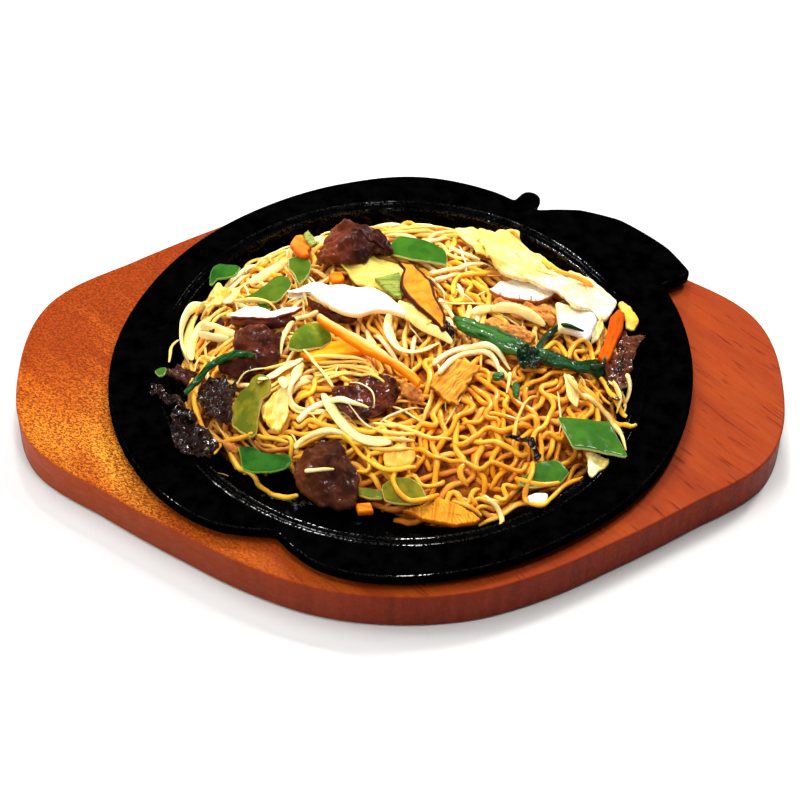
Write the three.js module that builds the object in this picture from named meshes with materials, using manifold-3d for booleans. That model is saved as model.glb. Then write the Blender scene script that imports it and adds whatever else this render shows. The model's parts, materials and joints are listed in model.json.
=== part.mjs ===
// Fried noodles with vegetables and mushrooms, heaped in an apple-shaped iron plate on its wooden board.
// Millimetres, +Z up. The origin is the centre of the board's underside and +X runs along the board.
import * as THREE from "three";
import { mergeVertices } from "three/addons/utils/BufferGeometryUtils.js";
import Module from "manifold-3d";

const wasm = await Module();
wasm.setup();

// Board: an oval with blunt lugs at both ends. The radii are those of one quarter, every 15 degrees.
const boardHeight = 19;
const boardRadii = [170, 166.6, 144.6, 132.3, 128.3, 128, 127.6];
const boardFootInset = 0.4; // the underside is smaller than the top
const boardEdgeRound = 0.9;
const boardSides = 73; // odd, so no edge of the underside's flat face crosses the origin
const recessRadius = 109;
const recessDepth = 7.1;

// Plate: a flat rim round a circular well, its outline given as [degrees, radius] about the plate's centre.
const plateCentre = [0, 1.7];
const plateKnots = [
  [5, 129.8], [24, 131], [40, 128.6], [54, 124.2], [62, 122.4], [70, 125], [87, 127.4], [104, 124.7],
  [122, 122.8], [140, 123.2], [160, 125], [180, 128.4], [200, 130.4], [220, 129.1], [232, 124.6],
  [240, 117], [243.4, 114.2], [248, 118.2], [255, 123.6], [265, 125.7], [284, 124.5], [306, 123.7],
  [330, 127.3], [350, 128.6],
];
const plateSides = 84;
const rimTop = 26.7;
const rimThickness = 5.5;
const rimRound = 1.4;
const wellRadius = 105.9; // at the rim
const wellFloorRadius = 101;
const wellDepth = 10;
const plateFloorThickness = 4.5;
const footRadius = 97;
const underRimRadius = 107;

// The leaf and the stem stand out of the rim as flat lugs of its thickness.
const leafKnots = [
  [24.2, 130], [24.3, 143], [26, 147], [33, 146.8], [44.3, 142], [51.8, 134.4], [58.6, 123.1],
];
const leafRoot = [[56, 118], [40, 121], [28, 124]];
const stemAngle = 62.3;
const stemReach = 132.4;
const stemWidth = 11;

// Heap: a steep-sided dome, smaller at the front left and at the back.
const heapBase = rimTop - wellDepth + 0.4;
const heapRise = 29;
const heapReach = 98.5;
const heapDips = [
  { angle: 248, width: 30, depth: 12.5 },
  { angle: 100, width: 38, depth: 5 },
];
const heapFall = 0.7; // how soon the top falls off to the edge, less so at the back than at the front
const heapLean = 0.15;
const heapShoulder = 0.93; // share of the reach past which a topping sticks straight out
const heapSides = 34;
const heapRings = [0.97, 1, 0.97, 0.9, 0.78, 0.62, 0.44, 0.25, 0.08]; // the first is the underside
const restGap = 0.9; // between the heap and what lies on it

// Noodles on the heap's skin.
const noodleRadius = 1.45;
const noodleSides = 5;
const noodleStand = 0.85; // of a noodle's middle over the bare heap, so it is fused along its underside
const noodleStep = 3.4; // along the noodle
const noodleClearance = 2.2; // from a topping's outline
const noodleShortest = 6; // steps
const noodleLongest = 24;
const noodleCount = 42;
const noodleTries = 60000; // random numbers drawn at most
const noodleSpacing = 4.4; // between the middles of two noodles' steps

// Toppings: x and y of the middle, turn of the length from +X, and sizes. square is the outline's
// exponent, lift the height over the heap, pitch and bank its slopes along and across, arch and cup
// how far the middle stands over the ends and the edges, crown an extra thickness in the middle,
// bend how far the middle lies to one side, and ripple the height of waves along it. A piece of
// stiff 1 lies flat on the heap, and one of stiff 0 follows it.
const peppers = {
  pepper_left: { x: -81, y: 48, turn: 8, length: 15, width: 12, thick: 2.6, lift: 1 },
  pepper_back_left: { x: -47.5, y: 39, turn: -52, length: 20, width: 13, thick: 2.6, arch: 1 },
  pepper_leaf_left: {
    x: -61.5, y: 25.8, turn: 23, length: 24, width: 15, thick: 2.6,
    taper: 0.35, arch: 2,
  },
  pepper_dome: {
    x: -42, y: -7, turn: 14, length: 18, width: 15, thick: 2.6,
    square: 2.4, arch: 3, cup: 2.5,
  },
  pepper_back: { x: 7, y: 51, turn: -10, length: 28, width: 15, thick: 2.6, arch: 1.5, lift: 1 },
  pepper_curved: {
    x: -63, y: -41, turn: -105, length: 27, width: 14,
    thick: 2.8, cup: 2, bend: -2, lift: 3,
  },
  pepper_front_left: { x: -57.5, y: -63, turn: -4, length: 23, width: 12, thick: 3, bend: -2 },
  pepper_right: {
    x: 82, y: -49, turn: -6, length: 27, width: 17, thick: 2.8,
    square: 9, skew: -3.8, lift: 2.6,
  },
  pepper_front_right: { x: 64, y: -67, turn: 6, length: 24, width: 11, thick: 2.8, square: 6 },
  pepper_ring: { x: 3, y: -82, turn: -2, length: 19, width: 12, thick: 3, lift: 2 },
  pepper_strip: { x: -13.5, y: -82.5, turn: -8, length: 13, width: 6, thick: 2.6 },
};
const caps = {
  cap_brown: {
    x: -64, y: -11, turn: -78, length: 31, width: 23, thick: 2.4,
    square: 3, arch: 1, crown: 2.5,
  },
  cap_front: { x: -29.5, y: -71.5, turn: -3, length: 30, width: 28, thick: 2.4, square: 2.2, crown: 2 },
  cap_back: {
    x: -22.5, y: 58, turn: 0, length: 36, width: 27, thick: 2.4,
    square: 2.6, crown: 4, lift: 4,
  },
  ear_center: {
    x: -15, y: -40, turn: 8, length: 30, width: 23,
    thick: 2, square: 2.1, crown: 2.5, ripple: 0.5,
  },
};
const slices = {
  slice_white_small: { x: -60, y: 10.4, turn: 2, length: 33, width: 8.5, thick: 4, bend: 2, lift: 0.6 },
  slice_white: {
    x: -21, y: 14, turn: -20, length: 52, width: 15,
    thick: 5, bend: 1, taper: -0.1, lift: 3.4,
  },
  slice_orange: {
    x: 10, y: 16, turn: -60, length: 47, width: 12, thick: 3.5,
    square: 2.4, bend: 4, lift: 3,
  },
  slice_gills: { x: 55, y: 25.5, turn: 3, length: 35, width: 12, thick: 3.4, bend: 3, square: 2.6 },
  slice_front: {
    x: 19, y: -88, turn: -6, length: 34, width: 9, thick: 3.2,
    square: 2.2, bend: -3, bank: 0.3, lift: -2,
  },
  gill_fan: {
    x: 21, y: -33, turn: -60, length: 21, width: 15,
    thick: 2.6, taper: -0.3, square: 3, arch: 1,
  },
};
const ears = {
  ear_left: {
    x: -88, y: -45, turn: -52, length: 30, width: 20, thick: 2,
    ripple: 1.6, lift: -0.5, stiff: 0,
  },
  ear_tail: {
    x: -102.5, y: -23.5, turn: -36, length: 22, width: 7, thick: 2,
    ripple: 0.6, lift: 1, stiff: 0,
  },
  ear_sparkle: {
    x: -81, y: -33, turn: -62, length: 21, width: 17, thick: 2,
    ripple: 0.8, lift: 4, stiff: 0,
  },
  ear_right: {
    x: 99, y: -4, turn: 75, length: 38, width: 13, thick: 2,
    ripple: 1.6, lift: 1, stiff: 0,
  },
  shred_dark: { x: 50.5, y: -57, turn: -34, length: 15, width: 5, thick: 2.4, bend: 1.5, lift: 1 },
};
const carrots = {
  carrot_long: { x: -14.6, y: -18.2, turn: -38, length: 58, width: 5, thick: 4, square: 8, lift: 5.6 },
  carrot_wedge: { x: -23, y: -13, turn: 14, length: 26, width: 8, thick: 2.6, square: 5, taper: -0.3 },
  carrot_right: { x: 91, y: 8, turn: 74, length: 34, width: 6, thick: 5, square: 8, lift: 0.6 },
  carrot_back: { x: -47.4, y: 60, turn: -60, length: 14, width: 11, thick: 5, square: 3 },
  carrot_bit: { x: -13.5, y: -89, turn: -15, length: 8, width: 6, thick: 4, lift: -2 },
};
const cabbages = {
  cabbage_back: { x: -19, y: 34, turn: -4, length: 37, width: 19, thick: 2, ripple: 0.6, stiff: 0 },
  cabbage_leaf: {
    x: 62.5, y: 46, turn: -32, length: 67, width: 25, thick: 2.6,
    arch: 2.5, cup: -2, ripple: 1, lift: 3, stiff: 0,
  },
  cabbage_rib: { x: 76, y: 13, turn: -14, length: 19, width: 16, thick: 6, square: 6, taper: 0.1 },
  cabbage_chunk: { x: -50, y: -44, turn: 80, length: 20, width: 14, thick: 4, square: 3 },
  cabbage_right: {
    x: 86, y: -57, turn: 45, length: 16, width: 7, thick: 2,
    ripple: 0.6, lift: -0.6, stiff: 0,
  },
  onion_gold: { x: -2, y: -67, turn: 70, length: 11, width: 11, thick: 2.6, square: 3 },
  onion_right: { x: 74.5, y: -27, turn: -68, length: 13, width: 6, thick: 2.4 },
  white_bit: { x: 60, y: -78.5, turn: 10, length: 10, width: 7, thick: 4, lift: -1 },
};
const greens = {
  stalk: { x: 48.5, y: -8, turn: -21, length: 52, width: 7, thick: 4, square: 6, bend: 1, lift: 2.4 },
  stalk_leaf: {
    x: 79, y: -14, turn: -16, length: 20, width: 6, thick: 2,
    ripple: 0.5, lift: 1, stiff: 0,
  },
  strip_green: {
    x: -78, y: -25, turn: 20, length: 32, width: 3.6, thick: 2,
    bend: 8, lift: 7.6, stiff: 0,
  },
};
const meats = {
  meat_left: { x: -71, y: -54.5, turn: -40, length: 9, width: 5, thick: 3 },
  meat_edge: { x: -96, y: -13, turn: -30, length: 13, width: 8, thick: 3, lift: 0.5 },
  meat_back: { x: 53.5, y: 13.5, turn: -8, length: 22, width: 7, thick: 3, bend: 1 },
  meat_orange: { x: 46, y: 3.5, turn: -25, length: 21, width: 6, thick: 3, square: 3 },
  meat_mid: { x: 5, y: -37, turn: -50, length: 12, width: 6, thick: 3 },
};
const pieceDefaults = {
  square: 4, taper: 0, skew: 0, lift: 0, pitch: 0, bank: 0, arch: 0, cup: 0, crown: 0, bend: 0, ripple: 0,
  stiff: 1,
};
const pieceCols = 6;
const pieceRows = 3;
const narrowestEnd = 0.3; // an outline's half width at its ends, as a share of its middle

const finishes = {
  board: { color: 0xa8421f, roughness: 0.5 },
  iron: { color: 0x0b0b0b, roughness: 0.35, metalness: 0.6 },
  noodle: { color: 0xe8ab3c, roughness: 0.4 },
  pepper: { color: 0x4a8f2c, roughness: 0.3 },
  cap: { color: 0x5a2d22, roughness: 0.35 },
  slice: { color: 0xf5ead2, roughness: 0.5 },
  ear: { color: 0x2c1a18, roughness: 0.25 },
  carrot: { color: 0xf07a12, roughness: 0.4 },
  cabbage: { color: 0xf0e2a0, roughness: 0.4 },
  green: { color: 0x1f5a26, roughness: 0.3 },
  meat: { color: 0xa85a3c, roughness: 0.5 },
};

const radians = THREE.MathUtils.degToRad;

// Outline through [degrees, radius] knots: a cubic between two knots, with the mean slope at each.
function polarRadius(knots, degrees) {
  const count = knots.length;
  const angle = THREE.MathUtils.euclideanModulo(degrees, 360);
  const knot = (k) => {
    const turns = Math.floor(k / count);
    const [at, radius] = knots[k - turns * count];
    return { at: at + 360 * turns, radius };
  };
  const k = knots.findLastIndex(([at]) => at <= angle);
  const [before, from, to, after] = [k - 1, k, k + 1, k + 2].map(knot);
  const span = to.at - from.at;
  const t = (angle - from.at) / span;
  const slopeFrom = ((to.radius - before.radius) / (to.at - before.at)) * span;
  const slopeTo = ((after.radius - from.radius) / (after.at - from.at)) * span;
  return (
    from.radius * (1 + 2 * t) * (1 - t) ** 2 + slopeFrom * t * (1 - t) ** 2 +
    to.radius * t * t * (3 - 2 * t) - slopeTo * t * t * (1 - t)
  );
}

// A level ring of points about a centre; radiusAt gives the radius at an angle in degrees.
function ring(sides, [cx, cy], z, radiusAt) {
  return Array.from({ length: sides }, (_, i) => {
    const degrees = (360 * i) / sides;
    const r = radiusAt(degrees);
    return [cx + r * Math.cos(radians(degrees)), cy + r * Math.sin(radians(degrees)), z];
  });
}

// A closed solid through a stack of rings of equal counts, the first and last closed by fans.
function stackRings(rings) {
  const n = rings[0].length;
  const last = (rings.length - 1) * n;
  const index = [];
  for (let low = 0; low < last; low += n)
    for (let i = 0; i < n; i++) {
      const j = (i + 1) % n;
      index.push(low + i, low + j, low + n + j, low + i, low + n + j, low + n + i);
    }
  for (let i = 1; i + 1 < n; i++) index.push(0, i + 1, i, last, last + i, last + i + 1);
  const geometry = new THREE.BufferGeometry();
  geometry.setAttribute("position", new THREE.Float32BufferAttribute(rings.flat(2), 3));
  return geometry.setIndex(index);
}

// A three.js geometry as a solid that can be joined and cut, and back again.
function solidOf(geometry) {
  const bare = new THREE.BufferGeometry();
  bare.setAttribute("position", geometry.getAttribute("position")).setIndex(geometry.index);
  const merged = mergeVertices(bare, 1e-4);
  const vertProperties = merged.getAttribute("position").array;
  const triVerts = new Uint32Array(merged.index.array);
  return new wasm.Manifold(new wasm.Mesh({ numProp: 3, vertProperties, triVerts }));
}

function geometryOf(solid) {
  const { numProp, vertProperties, triVerts } = solid.getMesh();
  const geometry = new THREE.BufferGeometry();
  geometry.setAttribute("position", new THREE.Float32BufferAttribute(vertProperties, numProp));
  return geometry.setIndex(Array.from(triVerts));
}

function makeMesh(name, geometry, finish) {
  geometry.computeVertexNormals();
  const mesh = new THREE.Mesh(geometry, new THREE.MeshStandardMaterial(finishes[finish]));
  mesh.name = name;
  return mesh;
}

// The board, from its smaller underside up round its edge and down into the plate's recess.
function makeBoard() {
  const quarter = boardRadii.length - 1;
  const knots = Array.from({ length: 4 * quarter }, (_, i) => {
    const fold = i % (2 * quarter);
    return [(90 / quarter) * i, boardRadii[Math.min(fold, 2 * quarter - fold)]];
  });
  const edge = (z, inset) => ring(boardSides, [0, 0], z, (a) => polarRadius(knots, a) - inset);
  const recess = (z) => ring(boardSides, plateCentre, z, () => recessRadius);
  return stackRings([
    edge(0, boardFootInset),
    edge(boardHeight - boardEdgeRound, 0),
    edge(boardHeight, boardEdgeRound),
    recess(boardHeight),
    recess(boardHeight - recessDepth),
  ]);
}

// A flat lug of the rim's thickness, from an outline in the plate's own plane.
function makeLug(shape) {
  const bevel = { bevelThickness: rimRound, bevelSize: rimRound, bevelSegments: 1 };
  const depth = rimThickness - 2 * rimRound;
  const geometry = new THREE.ExtrudeGeometry(shape, { depth, curveSegments: 5, ...bevel });
  const bottom = rimTop - rimThickness + rimRound;
  return solidOf(geometry.translate(...plateCentre, bottom));
}

function polarPoint([degrees, radius]) {
  return new THREE.Vector2(radius * Math.cos(radians(degrees)), radius * Math.sin(radians(degrees)));
}

function makePlate() {
  const rimBottom = rimTop - rimThickness;
  const floor = rimTop - wellDepth;
  const round = (z, radius) => ring(plateSides, plateCentre, z, () => radius);
  const edge = (z, inset) => ring(plateSides, plateCentre, z, (a) => polarRadius(plateKnots, a) - inset);
  const body = solidOf(stackRings([
    round(floor - plateFloorThickness, footRadius),
    round(floor - 1, footRadius + 3),
    round(rimBottom, underRimRadius),
    edge(rimBottom, rimRound),
    edge(rimBottom + rimRound, 0),
    edge(rimTop - rimRound, 0),
    edge(rimTop, rimRound),
    round(rimTop, wellRadius + 0.8),
    round(rimTop - 0.8, wellRadius),
    round(floor + 1.5, wellFloorRadius + 2),
    round(floor, wellFloorRadius),
  ]));

  const inset = ([degrees, radius]) => polarPoint([degrees, radius - rimRound]);
  const leaf = new THREE.Shape();
  leaf.moveTo(...inset(leafKnots[0]).toArray());
  leaf.splineThru(leafKnots.slice(1).map(inset));
  leafRoot.forEach((knot) => leaf.lineTo(...polarPoint(knot).toArray()));

  const stem = new THREE.Shape();
  const half = stemWidth / 2 - rimRound;
  const middle = polarPoint([stemAngle, stemReach - stemWidth / 2]);
  const root = polarPoint([stemAngle, plateKnots[4][1] - stemWidth]);
  const turn = radians(stemAngle);
  const side = new THREE.Vector2(-Math.sin(turn), Math.cos(turn)).multiplyScalar(half);
  stem.moveTo(root.x + side.x, root.y + side.y);
  stem.lineTo(root.x - side.x, root.y - side.y);
  stem.absarc(middle.x, middle.y, half, turn - Math.PI / 2, turn + Math.PI / 2);

  return geometryOf(body.add(makeLug(leaf)).add(makeLug(stem)));
}

// The heap's reach: full all round, less a smooth dip at each of the named angles.
function reachAt(degrees) {
  return heapDips.reduce((reach, { angle, width, depth }) => {
    const off = THREE.MathUtils.euclideanModulo(degrees - angle + 180, 360) - 180;
    return reach - depth * Math.exp(-((off / width) ** 2));
  }, heapReach);
}

// The heap's height over a point: flat-topped, falling ever steeper, with gentle swells.
function heapTop(x, y, farthest = 1) {
  const across = x - plateCentre[0];
  const along = y - plateCentre[1];
  const reach = reachAt(THREE.MathUtils.radToDeg(Math.atan2(along, across)));
  const distance = Math.hypot(across, along);
  const share = Math.min(distance / reach, farthest);
  const fall = heapFall - (heapLean * along) / Math.max(distance, 1);
  const swell = 1.1 * Math.sin(x / 12 + 1) * Math.cos(y / 14 - 0.5) * (1 - share ** 2);
  return heapBase + heapRise * (1 - share ** 5) ** fall * (1 - 0.2 * share ** 2) + swell;
}

function makeHeapCore() {
  const rings = heapRings.map((share, i) => {
    const level = ring(heapSides, plateCentre, heapBase, (a) => share * reachAt(a));
    return level.map(([x, y, z]) => [x, y, i === 0 ? z : Math.max(heapTop(x, y), z + 1.5)]);
  });
  return solidOf(stackRings(rings));
}

// Half the width of a topping's outline at u, from -1 to 1 along it.
function halfWidth(piece, u) {
  const round = (1 - Math.abs(u) ** piece.square) ** (1 / piece.square);
  return (piece.width / 2) * Math.max(round, narrowestEnd) * (1 + piece.taper * u);
}

// Height of what a topping lies on: the heap, and for a stiff piece the plane that rests on it.
function bedHeight(piece, along, across) {
  const turn = radians(piece.turn);
  const heapAt = (a, b) => {
    const x = piece.x + a * Math.cos(turn) - b * Math.sin(turn);
    const y = piece.y + a * Math.sin(turn) + b * Math.cos(turn);
    return heapTop(x, y, heapShoulder);
  };
  const [farAlong, farAcross] = [piece.length / 2, piece.width / 2];
  const tests = [[0, 0], [farAlong, 0], [-farAlong, 0], [0, farAcross], [0, -farAcross]];
  const [, east, west, north, south] = tests.map(([a, b]) => heapAt(a, b));
  const slopeAlong = (east - west) / piece.length;
  const slopeAcross = (north - south) / piece.width;
  const rest = Math.max(...tests.map(([a, b]) => heapAt(a, b) - slopeAlong * a - slopeAcross * b));
  const plane = rest + slopeAlong * along + slopeAcross * across;
  return piece.stiff * plane + (1 - piece.stiff) * heapAt(along, across);
}

// A topping's point over its outline (u along, v across, -1 to 1), on its lower or upper face.
function piecePoint(piece, u, v, isTop) {
  const along = (u * piece.length) / 2 + piece.skew * v;
  const across = v * halfWidth(piece, u) + piece.bend * (1 - u * u);
  const turn = radians(piece.turn);
  const x = piece.x + along * Math.cos(turn) - across * Math.sin(turn);
  const y = piece.y + along * Math.sin(turn) + across * Math.cos(turn);
  const tilt = piece.pitch * along + piece.bank * across;
  const form = piece.arch * (1 - u * u) + piece.cup * (1 - v * v) + piece.ripple * Math.sin(4 * u + 2 * v);
  const low = bedHeight(piece, along, across) + restGap + Math.abs(piece.ripple) + piece.lift + tilt + form;
  const crown = piece.crown * (1 - u * u) * (1 - v * v);
  return [x, y, isTop ? low + piece.thick + crown : low];
}

// A closed sheet: the outline's rim as rings would leave slivers, so it is a grid with four sides.
function makePiece(piece) {
  const cols = pieceCols;
  const rows = pieceRows;
  const position = [];
  for (const isTop of [false, true])
    for (let i = 0; i <= cols; i++)
      for (let j = 0; j <= rows; j++)
        position.push(...piecePoint(piece, (2 * i) / cols - 1, (2 * j) / rows - 1, isTop));
  const at = (i, j, isTop) => (isTop ? (cols + 1) * (rows + 1) : 0) + i * (rows + 1) + j;
  const index = [];
  const quad = (a, b, c, d) => index.push(a, b, c, a, c, d);
  for (let i = 0; i < cols; i++)
    for (let j = 0; j < rows; j++) {
      quad(at(i, j, true), at(i + 1, j, true), at(i + 1, j + 1, true), at(i, j + 1, true));
      quad(at(i, j, false), at(i, j + 1, false), at(i + 1, j + 1, false), at(i + 1, j, false));
    }
  for (let i = 0; i < cols; i++) {
    quad(at(i, 0, false), at(i + 1, 0, false), at(i + 1, 0, true), at(i, 0, true));
    quad(at(i, rows, true), at(i + 1, rows, true), at(i + 1, rows, false), at(i, rows, false));
  }
  for (let j = 0; j < rows; j++) {
    quad(at(0, j, true), at(0, j + 1, true), at(0, j + 1, false), at(0, j, false));
    quad(at(cols, j, false), at(cols, j + 1, false), at(cols, j + 1, true), at(cols, j, true));
  }
  const geometry = new THREE.BufferGeometry();
  geometry.setAttribute("position", new THREE.Float32BufferAttribute(position, 3));
  return geometry.setIndex(index);
}

// True where a point lies on or near a topping, seen from above.
function isUnderPiece(piece, x, y) {
  const turn = radians(piece.turn);
  const east = x - piece.x;
  const north = y - piece.y;
  const along = east * Math.cos(turn) + north * Math.sin(turn);
  const u = (2 * along) / (piece.length + 2 * noodleClearance + 2 * Math.abs(piece.skew));
  if (Math.abs(u) > 1) return false;
  const across = north * Math.cos(turn) - east * Math.sin(turn) - piece.bend * (1 - u * u);
  return Math.abs(across) < halfWidth({ ...piece, square: 8 }, u) + noodleClearance;
}

// Wandering noodles fused to the heap's skin, each cut short where it would meet a topping.
function layNoodles(pieces) {
  const random = seededRandom(11);
  const taken = [];
  const tubes = [];
  while (tubes.length < noodleCount && random.tries < noodleTries) {
    let x = plateCentre[0] + heapReach * (2 * random() - 1);
    let y = plateCentre[1] + heapReach * (2 * random() - 1);
    let heading = 2 * Math.PI * random();
    let curl = 0.5 * (random() - 0.5);
    const path = [];
    for (let step = 0; step < noodleLongest; step++) {
      const degrees = THREE.MathUtils.radToDeg(Math.atan2(y - plateCentre[1], x - plateCentre[0]));
      const inside = Math.hypot(x - plateCentre[0], y - plateCentre[1]) < 0.92 * reachAt(degrees);
      const free = !pieces.some((piece) => isUnderPiece(piece, x, y));
      const apart = !taken.some((point) => Math.hypot(point.x - x, point.y - y) < noodleSpacing);
      if (!inside || !free || !apart) break;
      path.push(new THREE.Vector3(x, y, heapTop(x, y) + noodleStand));
      curl = 0.8 * curl + 0.22 * (random() - 0.5);
      heading += curl;
      x += noodleStep * Math.cos(heading);
      y += noodleStep * Math.sin(heading);
    }
    if (path.length < noodleShortest) continue;
    taken.push(...path);
    tubes.push(makeTube(path));
  }
  return tubes;
}

// A number from 0 to 1 at each call, the same ones on each run; tries counts the calls.
function seededRandom(seed) {
  let state = seed;
  const next = () => {
    next.tries += 1;
    state = (state * 16807) % 2147483647;
    return state / 2147483647;
  };
  next.tries = 0;
  return next;
}

function makeTube(path) {
  const corners = Array.from({ length: noodleSides }, (_, i) => {
    const angle = (2 * Math.PI * i) / noodleSides;
    return new THREE.Vector2(noodleRadius * Math.cos(angle), noodleRadius * Math.sin(angle));
  });
  const options = { extrudePath: new THREE.CatmullRomCurve3(path), steps: path.length - 1 };
  return solidOf(new THREE.ExtrudeGeometry(new THREE.Shape(corners), options));
}

const yakisoba = new THREE.Group();
yakisoba.name = "yakisoba";
yakisoba.add(makeMesh("board", makeBoard(), "board"));
yakisoba.add(makeMesh("iron_plate", makePlate(), "iron"));

const kinds = [
  [peppers, "pepper"], [caps, "cap"], [slices, "slice"], [ears, "ear"], [carrots, "carrot"],
  [cabbages, "cabbage"], [greens, "green"], [meats, "meat"],
];
const toppings = [];
for (const [pieces, finish] of kinds)
  for (const [name, sizes] of Object.entries(pieces)) {
    const piece = { ...pieceDefaults, ...sizes };
    toppings.push(piece);
    yakisoba.add(makeMesh(name, makePiece(piece), finish));
  }

const heap = layNoodles(toppings).reduce((solid, tube) => solid.add(tube), makeHeapCore());
yakisoba.add(makeMesh("noodle_heap", geometryOf(heap), "noodle"));

export default yakisoba;
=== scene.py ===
import json
import math

import bpy
import numpy as np
from mathutils import Matrix

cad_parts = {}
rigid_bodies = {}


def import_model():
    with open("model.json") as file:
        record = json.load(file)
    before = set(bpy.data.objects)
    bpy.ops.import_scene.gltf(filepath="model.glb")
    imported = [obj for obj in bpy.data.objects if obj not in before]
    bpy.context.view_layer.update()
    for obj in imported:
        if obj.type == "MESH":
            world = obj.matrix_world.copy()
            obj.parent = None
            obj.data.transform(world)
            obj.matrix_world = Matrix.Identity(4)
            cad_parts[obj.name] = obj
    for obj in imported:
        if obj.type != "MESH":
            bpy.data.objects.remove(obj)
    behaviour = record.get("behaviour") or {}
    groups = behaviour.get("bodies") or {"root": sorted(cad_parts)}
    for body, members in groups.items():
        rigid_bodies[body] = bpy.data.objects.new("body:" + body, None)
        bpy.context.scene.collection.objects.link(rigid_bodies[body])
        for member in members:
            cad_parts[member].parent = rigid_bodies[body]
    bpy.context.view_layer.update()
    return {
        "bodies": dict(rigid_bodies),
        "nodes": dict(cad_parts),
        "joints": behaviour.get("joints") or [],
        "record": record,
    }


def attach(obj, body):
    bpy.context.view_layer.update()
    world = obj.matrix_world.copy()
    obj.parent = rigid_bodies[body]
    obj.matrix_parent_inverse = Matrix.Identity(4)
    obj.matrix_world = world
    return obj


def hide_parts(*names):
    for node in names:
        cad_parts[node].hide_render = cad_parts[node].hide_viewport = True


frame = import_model()
mm = 0.001  # shapes are worked out in millimetres, meshes are in metres


# Camera

cameraSet = {
    "distance": 1123.3,  # from the origin
    "elevation": 45.61,
    "roll": 1.211,
    "frameSize": 800,
    "focal": 2500,  # in pixels of the frame
    "shift": (0.35, 3.29),  # of the picture, in pixels to the right and down
    "lift": 2,  # height of the point that it turns about
}


def makeCamera():
    sets = cameraSet
    rise = math.radians(sets["elevation"])
    lens = bpy.data.cameras.new("camera")
    lens.sensor_width = 36
    lens.lens = sets["focal"] / sets["frameSize"] * lens.sensor_width
    lens.shift_x = -sets["shift"][0] / sets["frameSize"]
    lens.shift_y = sets["shift"][1] / sets["frameSize"]
    lens.clip_start = 0.05
    camera = bpy.data.objects.new("camera", lens)
    far, up = sets["distance"] * math.cos(rise), sets["distance"] * math.sin(rise) + sets["lift"]
    place = Matrix.Translation((0, -far * mm, up * mm))
    turn = Matrix.Rotation(math.pi / 2 - rise, 4, "X") @ Matrix.Rotation(math.radians(sets["roll"]), 4, "Z")
    camera.matrix_world = place @ turn
    bpy.context.scene.collection.objects.link(camera)
    bpy.context.scene.camera = camera


# x and y where the sight lines through frame points reach the given heights.
def sightPoint(across, down, height):
    sets = cameraSet
    rise, roll = math.radians(sets["elevation"]), math.radians(-sets["roll"])
    right = np.asarray(across) - sets["frameSize"] / 2 - sets["shift"][0]
    up = sets["frameSize"] / 2 + sets["shift"][1] - np.asarray(down)
    x = (right * math.cos(roll) + up * math.sin(roll)) / sets["focal"]
    y = (up * math.cos(roll) - right * math.sin(roll)) / sets["focal"]
    ahead = y * math.sin(rise) + math.cos(rise)
    fall = y * math.cos(rise) - math.sin(rise)
    reach = (height - sets["lift"] - sets["distance"] * math.sin(rise)) / fall
    return reach * x, reach * ahead - sets["distance"] * math.cos(rise)


makeCamera()


# Helpers for shapes

# Sum of plane waves with random directions and phases and lengths near the given one: about -1 to 1.
def waves(seed, length, count=9):
    draw = np.random.default_rng(seed)
    turn = draw.uniform(0, 2 * np.pi, count)
    pitch = 2 * np.pi / (length * draw.uniform(0.7, 1.5, count))
    phase = draw.uniform(0, 2 * np.pi, count)

    def height(x, y):
        x, y = np.asarray(x)[..., None], np.asarray(y)[..., None]
        return np.sin((x * np.cos(turn) + y * np.sin(turn)) * pitch + phase).sum(-1) / math.sqrt(count)

    return height


# A piece of the object from points in millimetres, four-sided and three-sided faces, and values per point.
def newPiece(name, points, quads, tris, values, material, slot, *nodes):
    mesh = bpy.data.meshes.new(name)
    points = np.asarray(points)
    quads, tris = np.asarray(quads).reshape(-1, 4), np.asarray(tris).reshape(-1, 3)
    mesh.vertices.add(len(points))
    mesh.vertices.foreach_set("co", (points * mm).astype(np.float32).ravel())
    mesh.loops.add(quads.size + tris.size)
    mesh.loops.foreach_set("vertex_index", np.concatenate([quads.ravel(), tris.ravel()]).astype(np.int32))
    starts = np.concatenate([np.arange(len(quads)) * 4, quads.size + np.arange(len(tris)) * 3])
    mesh.polygons.add(len(starts))
    mesh.polygons.foreach_set("loop_start", starts.astype(np.int32))
    mesh.polygons.foreach_set("use_smooth", np.ones(len(starts), bool))
    for label, value in values.items():
        column = mesh.attributes.new(label, "FLOAT", "POINT")
        column.data.foreach_set("value", np.broadcast_to(value, len(points)).astype(np.float32))
    mesh.update(calc_edges=True)
    mesh.validate()
    mesh.materials.append(material)
    piece = bpy.data.objects.new(name, mesh)
    bpy.context.scene.collection.objects.link(piece)
    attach(piece, "root")
    if nodes:
        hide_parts(*nodes)


# Faces of a stack of rings with n points each, closed by a pole before the first and one after the last.
# Points are the first pole, the rings in order, and the last pole.
def ringFaces(count, n):
    ring = np.arange(count - 1)[:, None] * n + 1
    i = np.arange(n)[None, :]
    j = (i + 1) % n
    quads = np.stack([ring + i, ring + j, ring + n + j, ring + n + i], -1).reshape(-1, 4)
    first, last = 1, 1 + (count - 1) * n
    i, j = i[0], j[0]
    start = np.stack([np.zeros(n, int), first + j, first + i], -1)
    end = np.stack([np.full(n, 1 + count * n), last + i, last + j], -1)
    return quads, np.concatenate([start, end])


# A ring of points at one height, or with a height for each.
def ringAt(level, z):
    return np.column_stack([level, np.broadcast_to(z, len(level))])


# Points and faces of a stack of rings between its two poles; flip turns the faces round.
def ringStack(first, rings, last, flip=False):
    quads, tris = ringFaces(len(rings), len(rings[0]))
    if flip:
        quads, tris = quads[:, ::-1], tris[:, ::-1]
    return np.vstack([[first], *rings, [last]]), quads, tris


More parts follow.
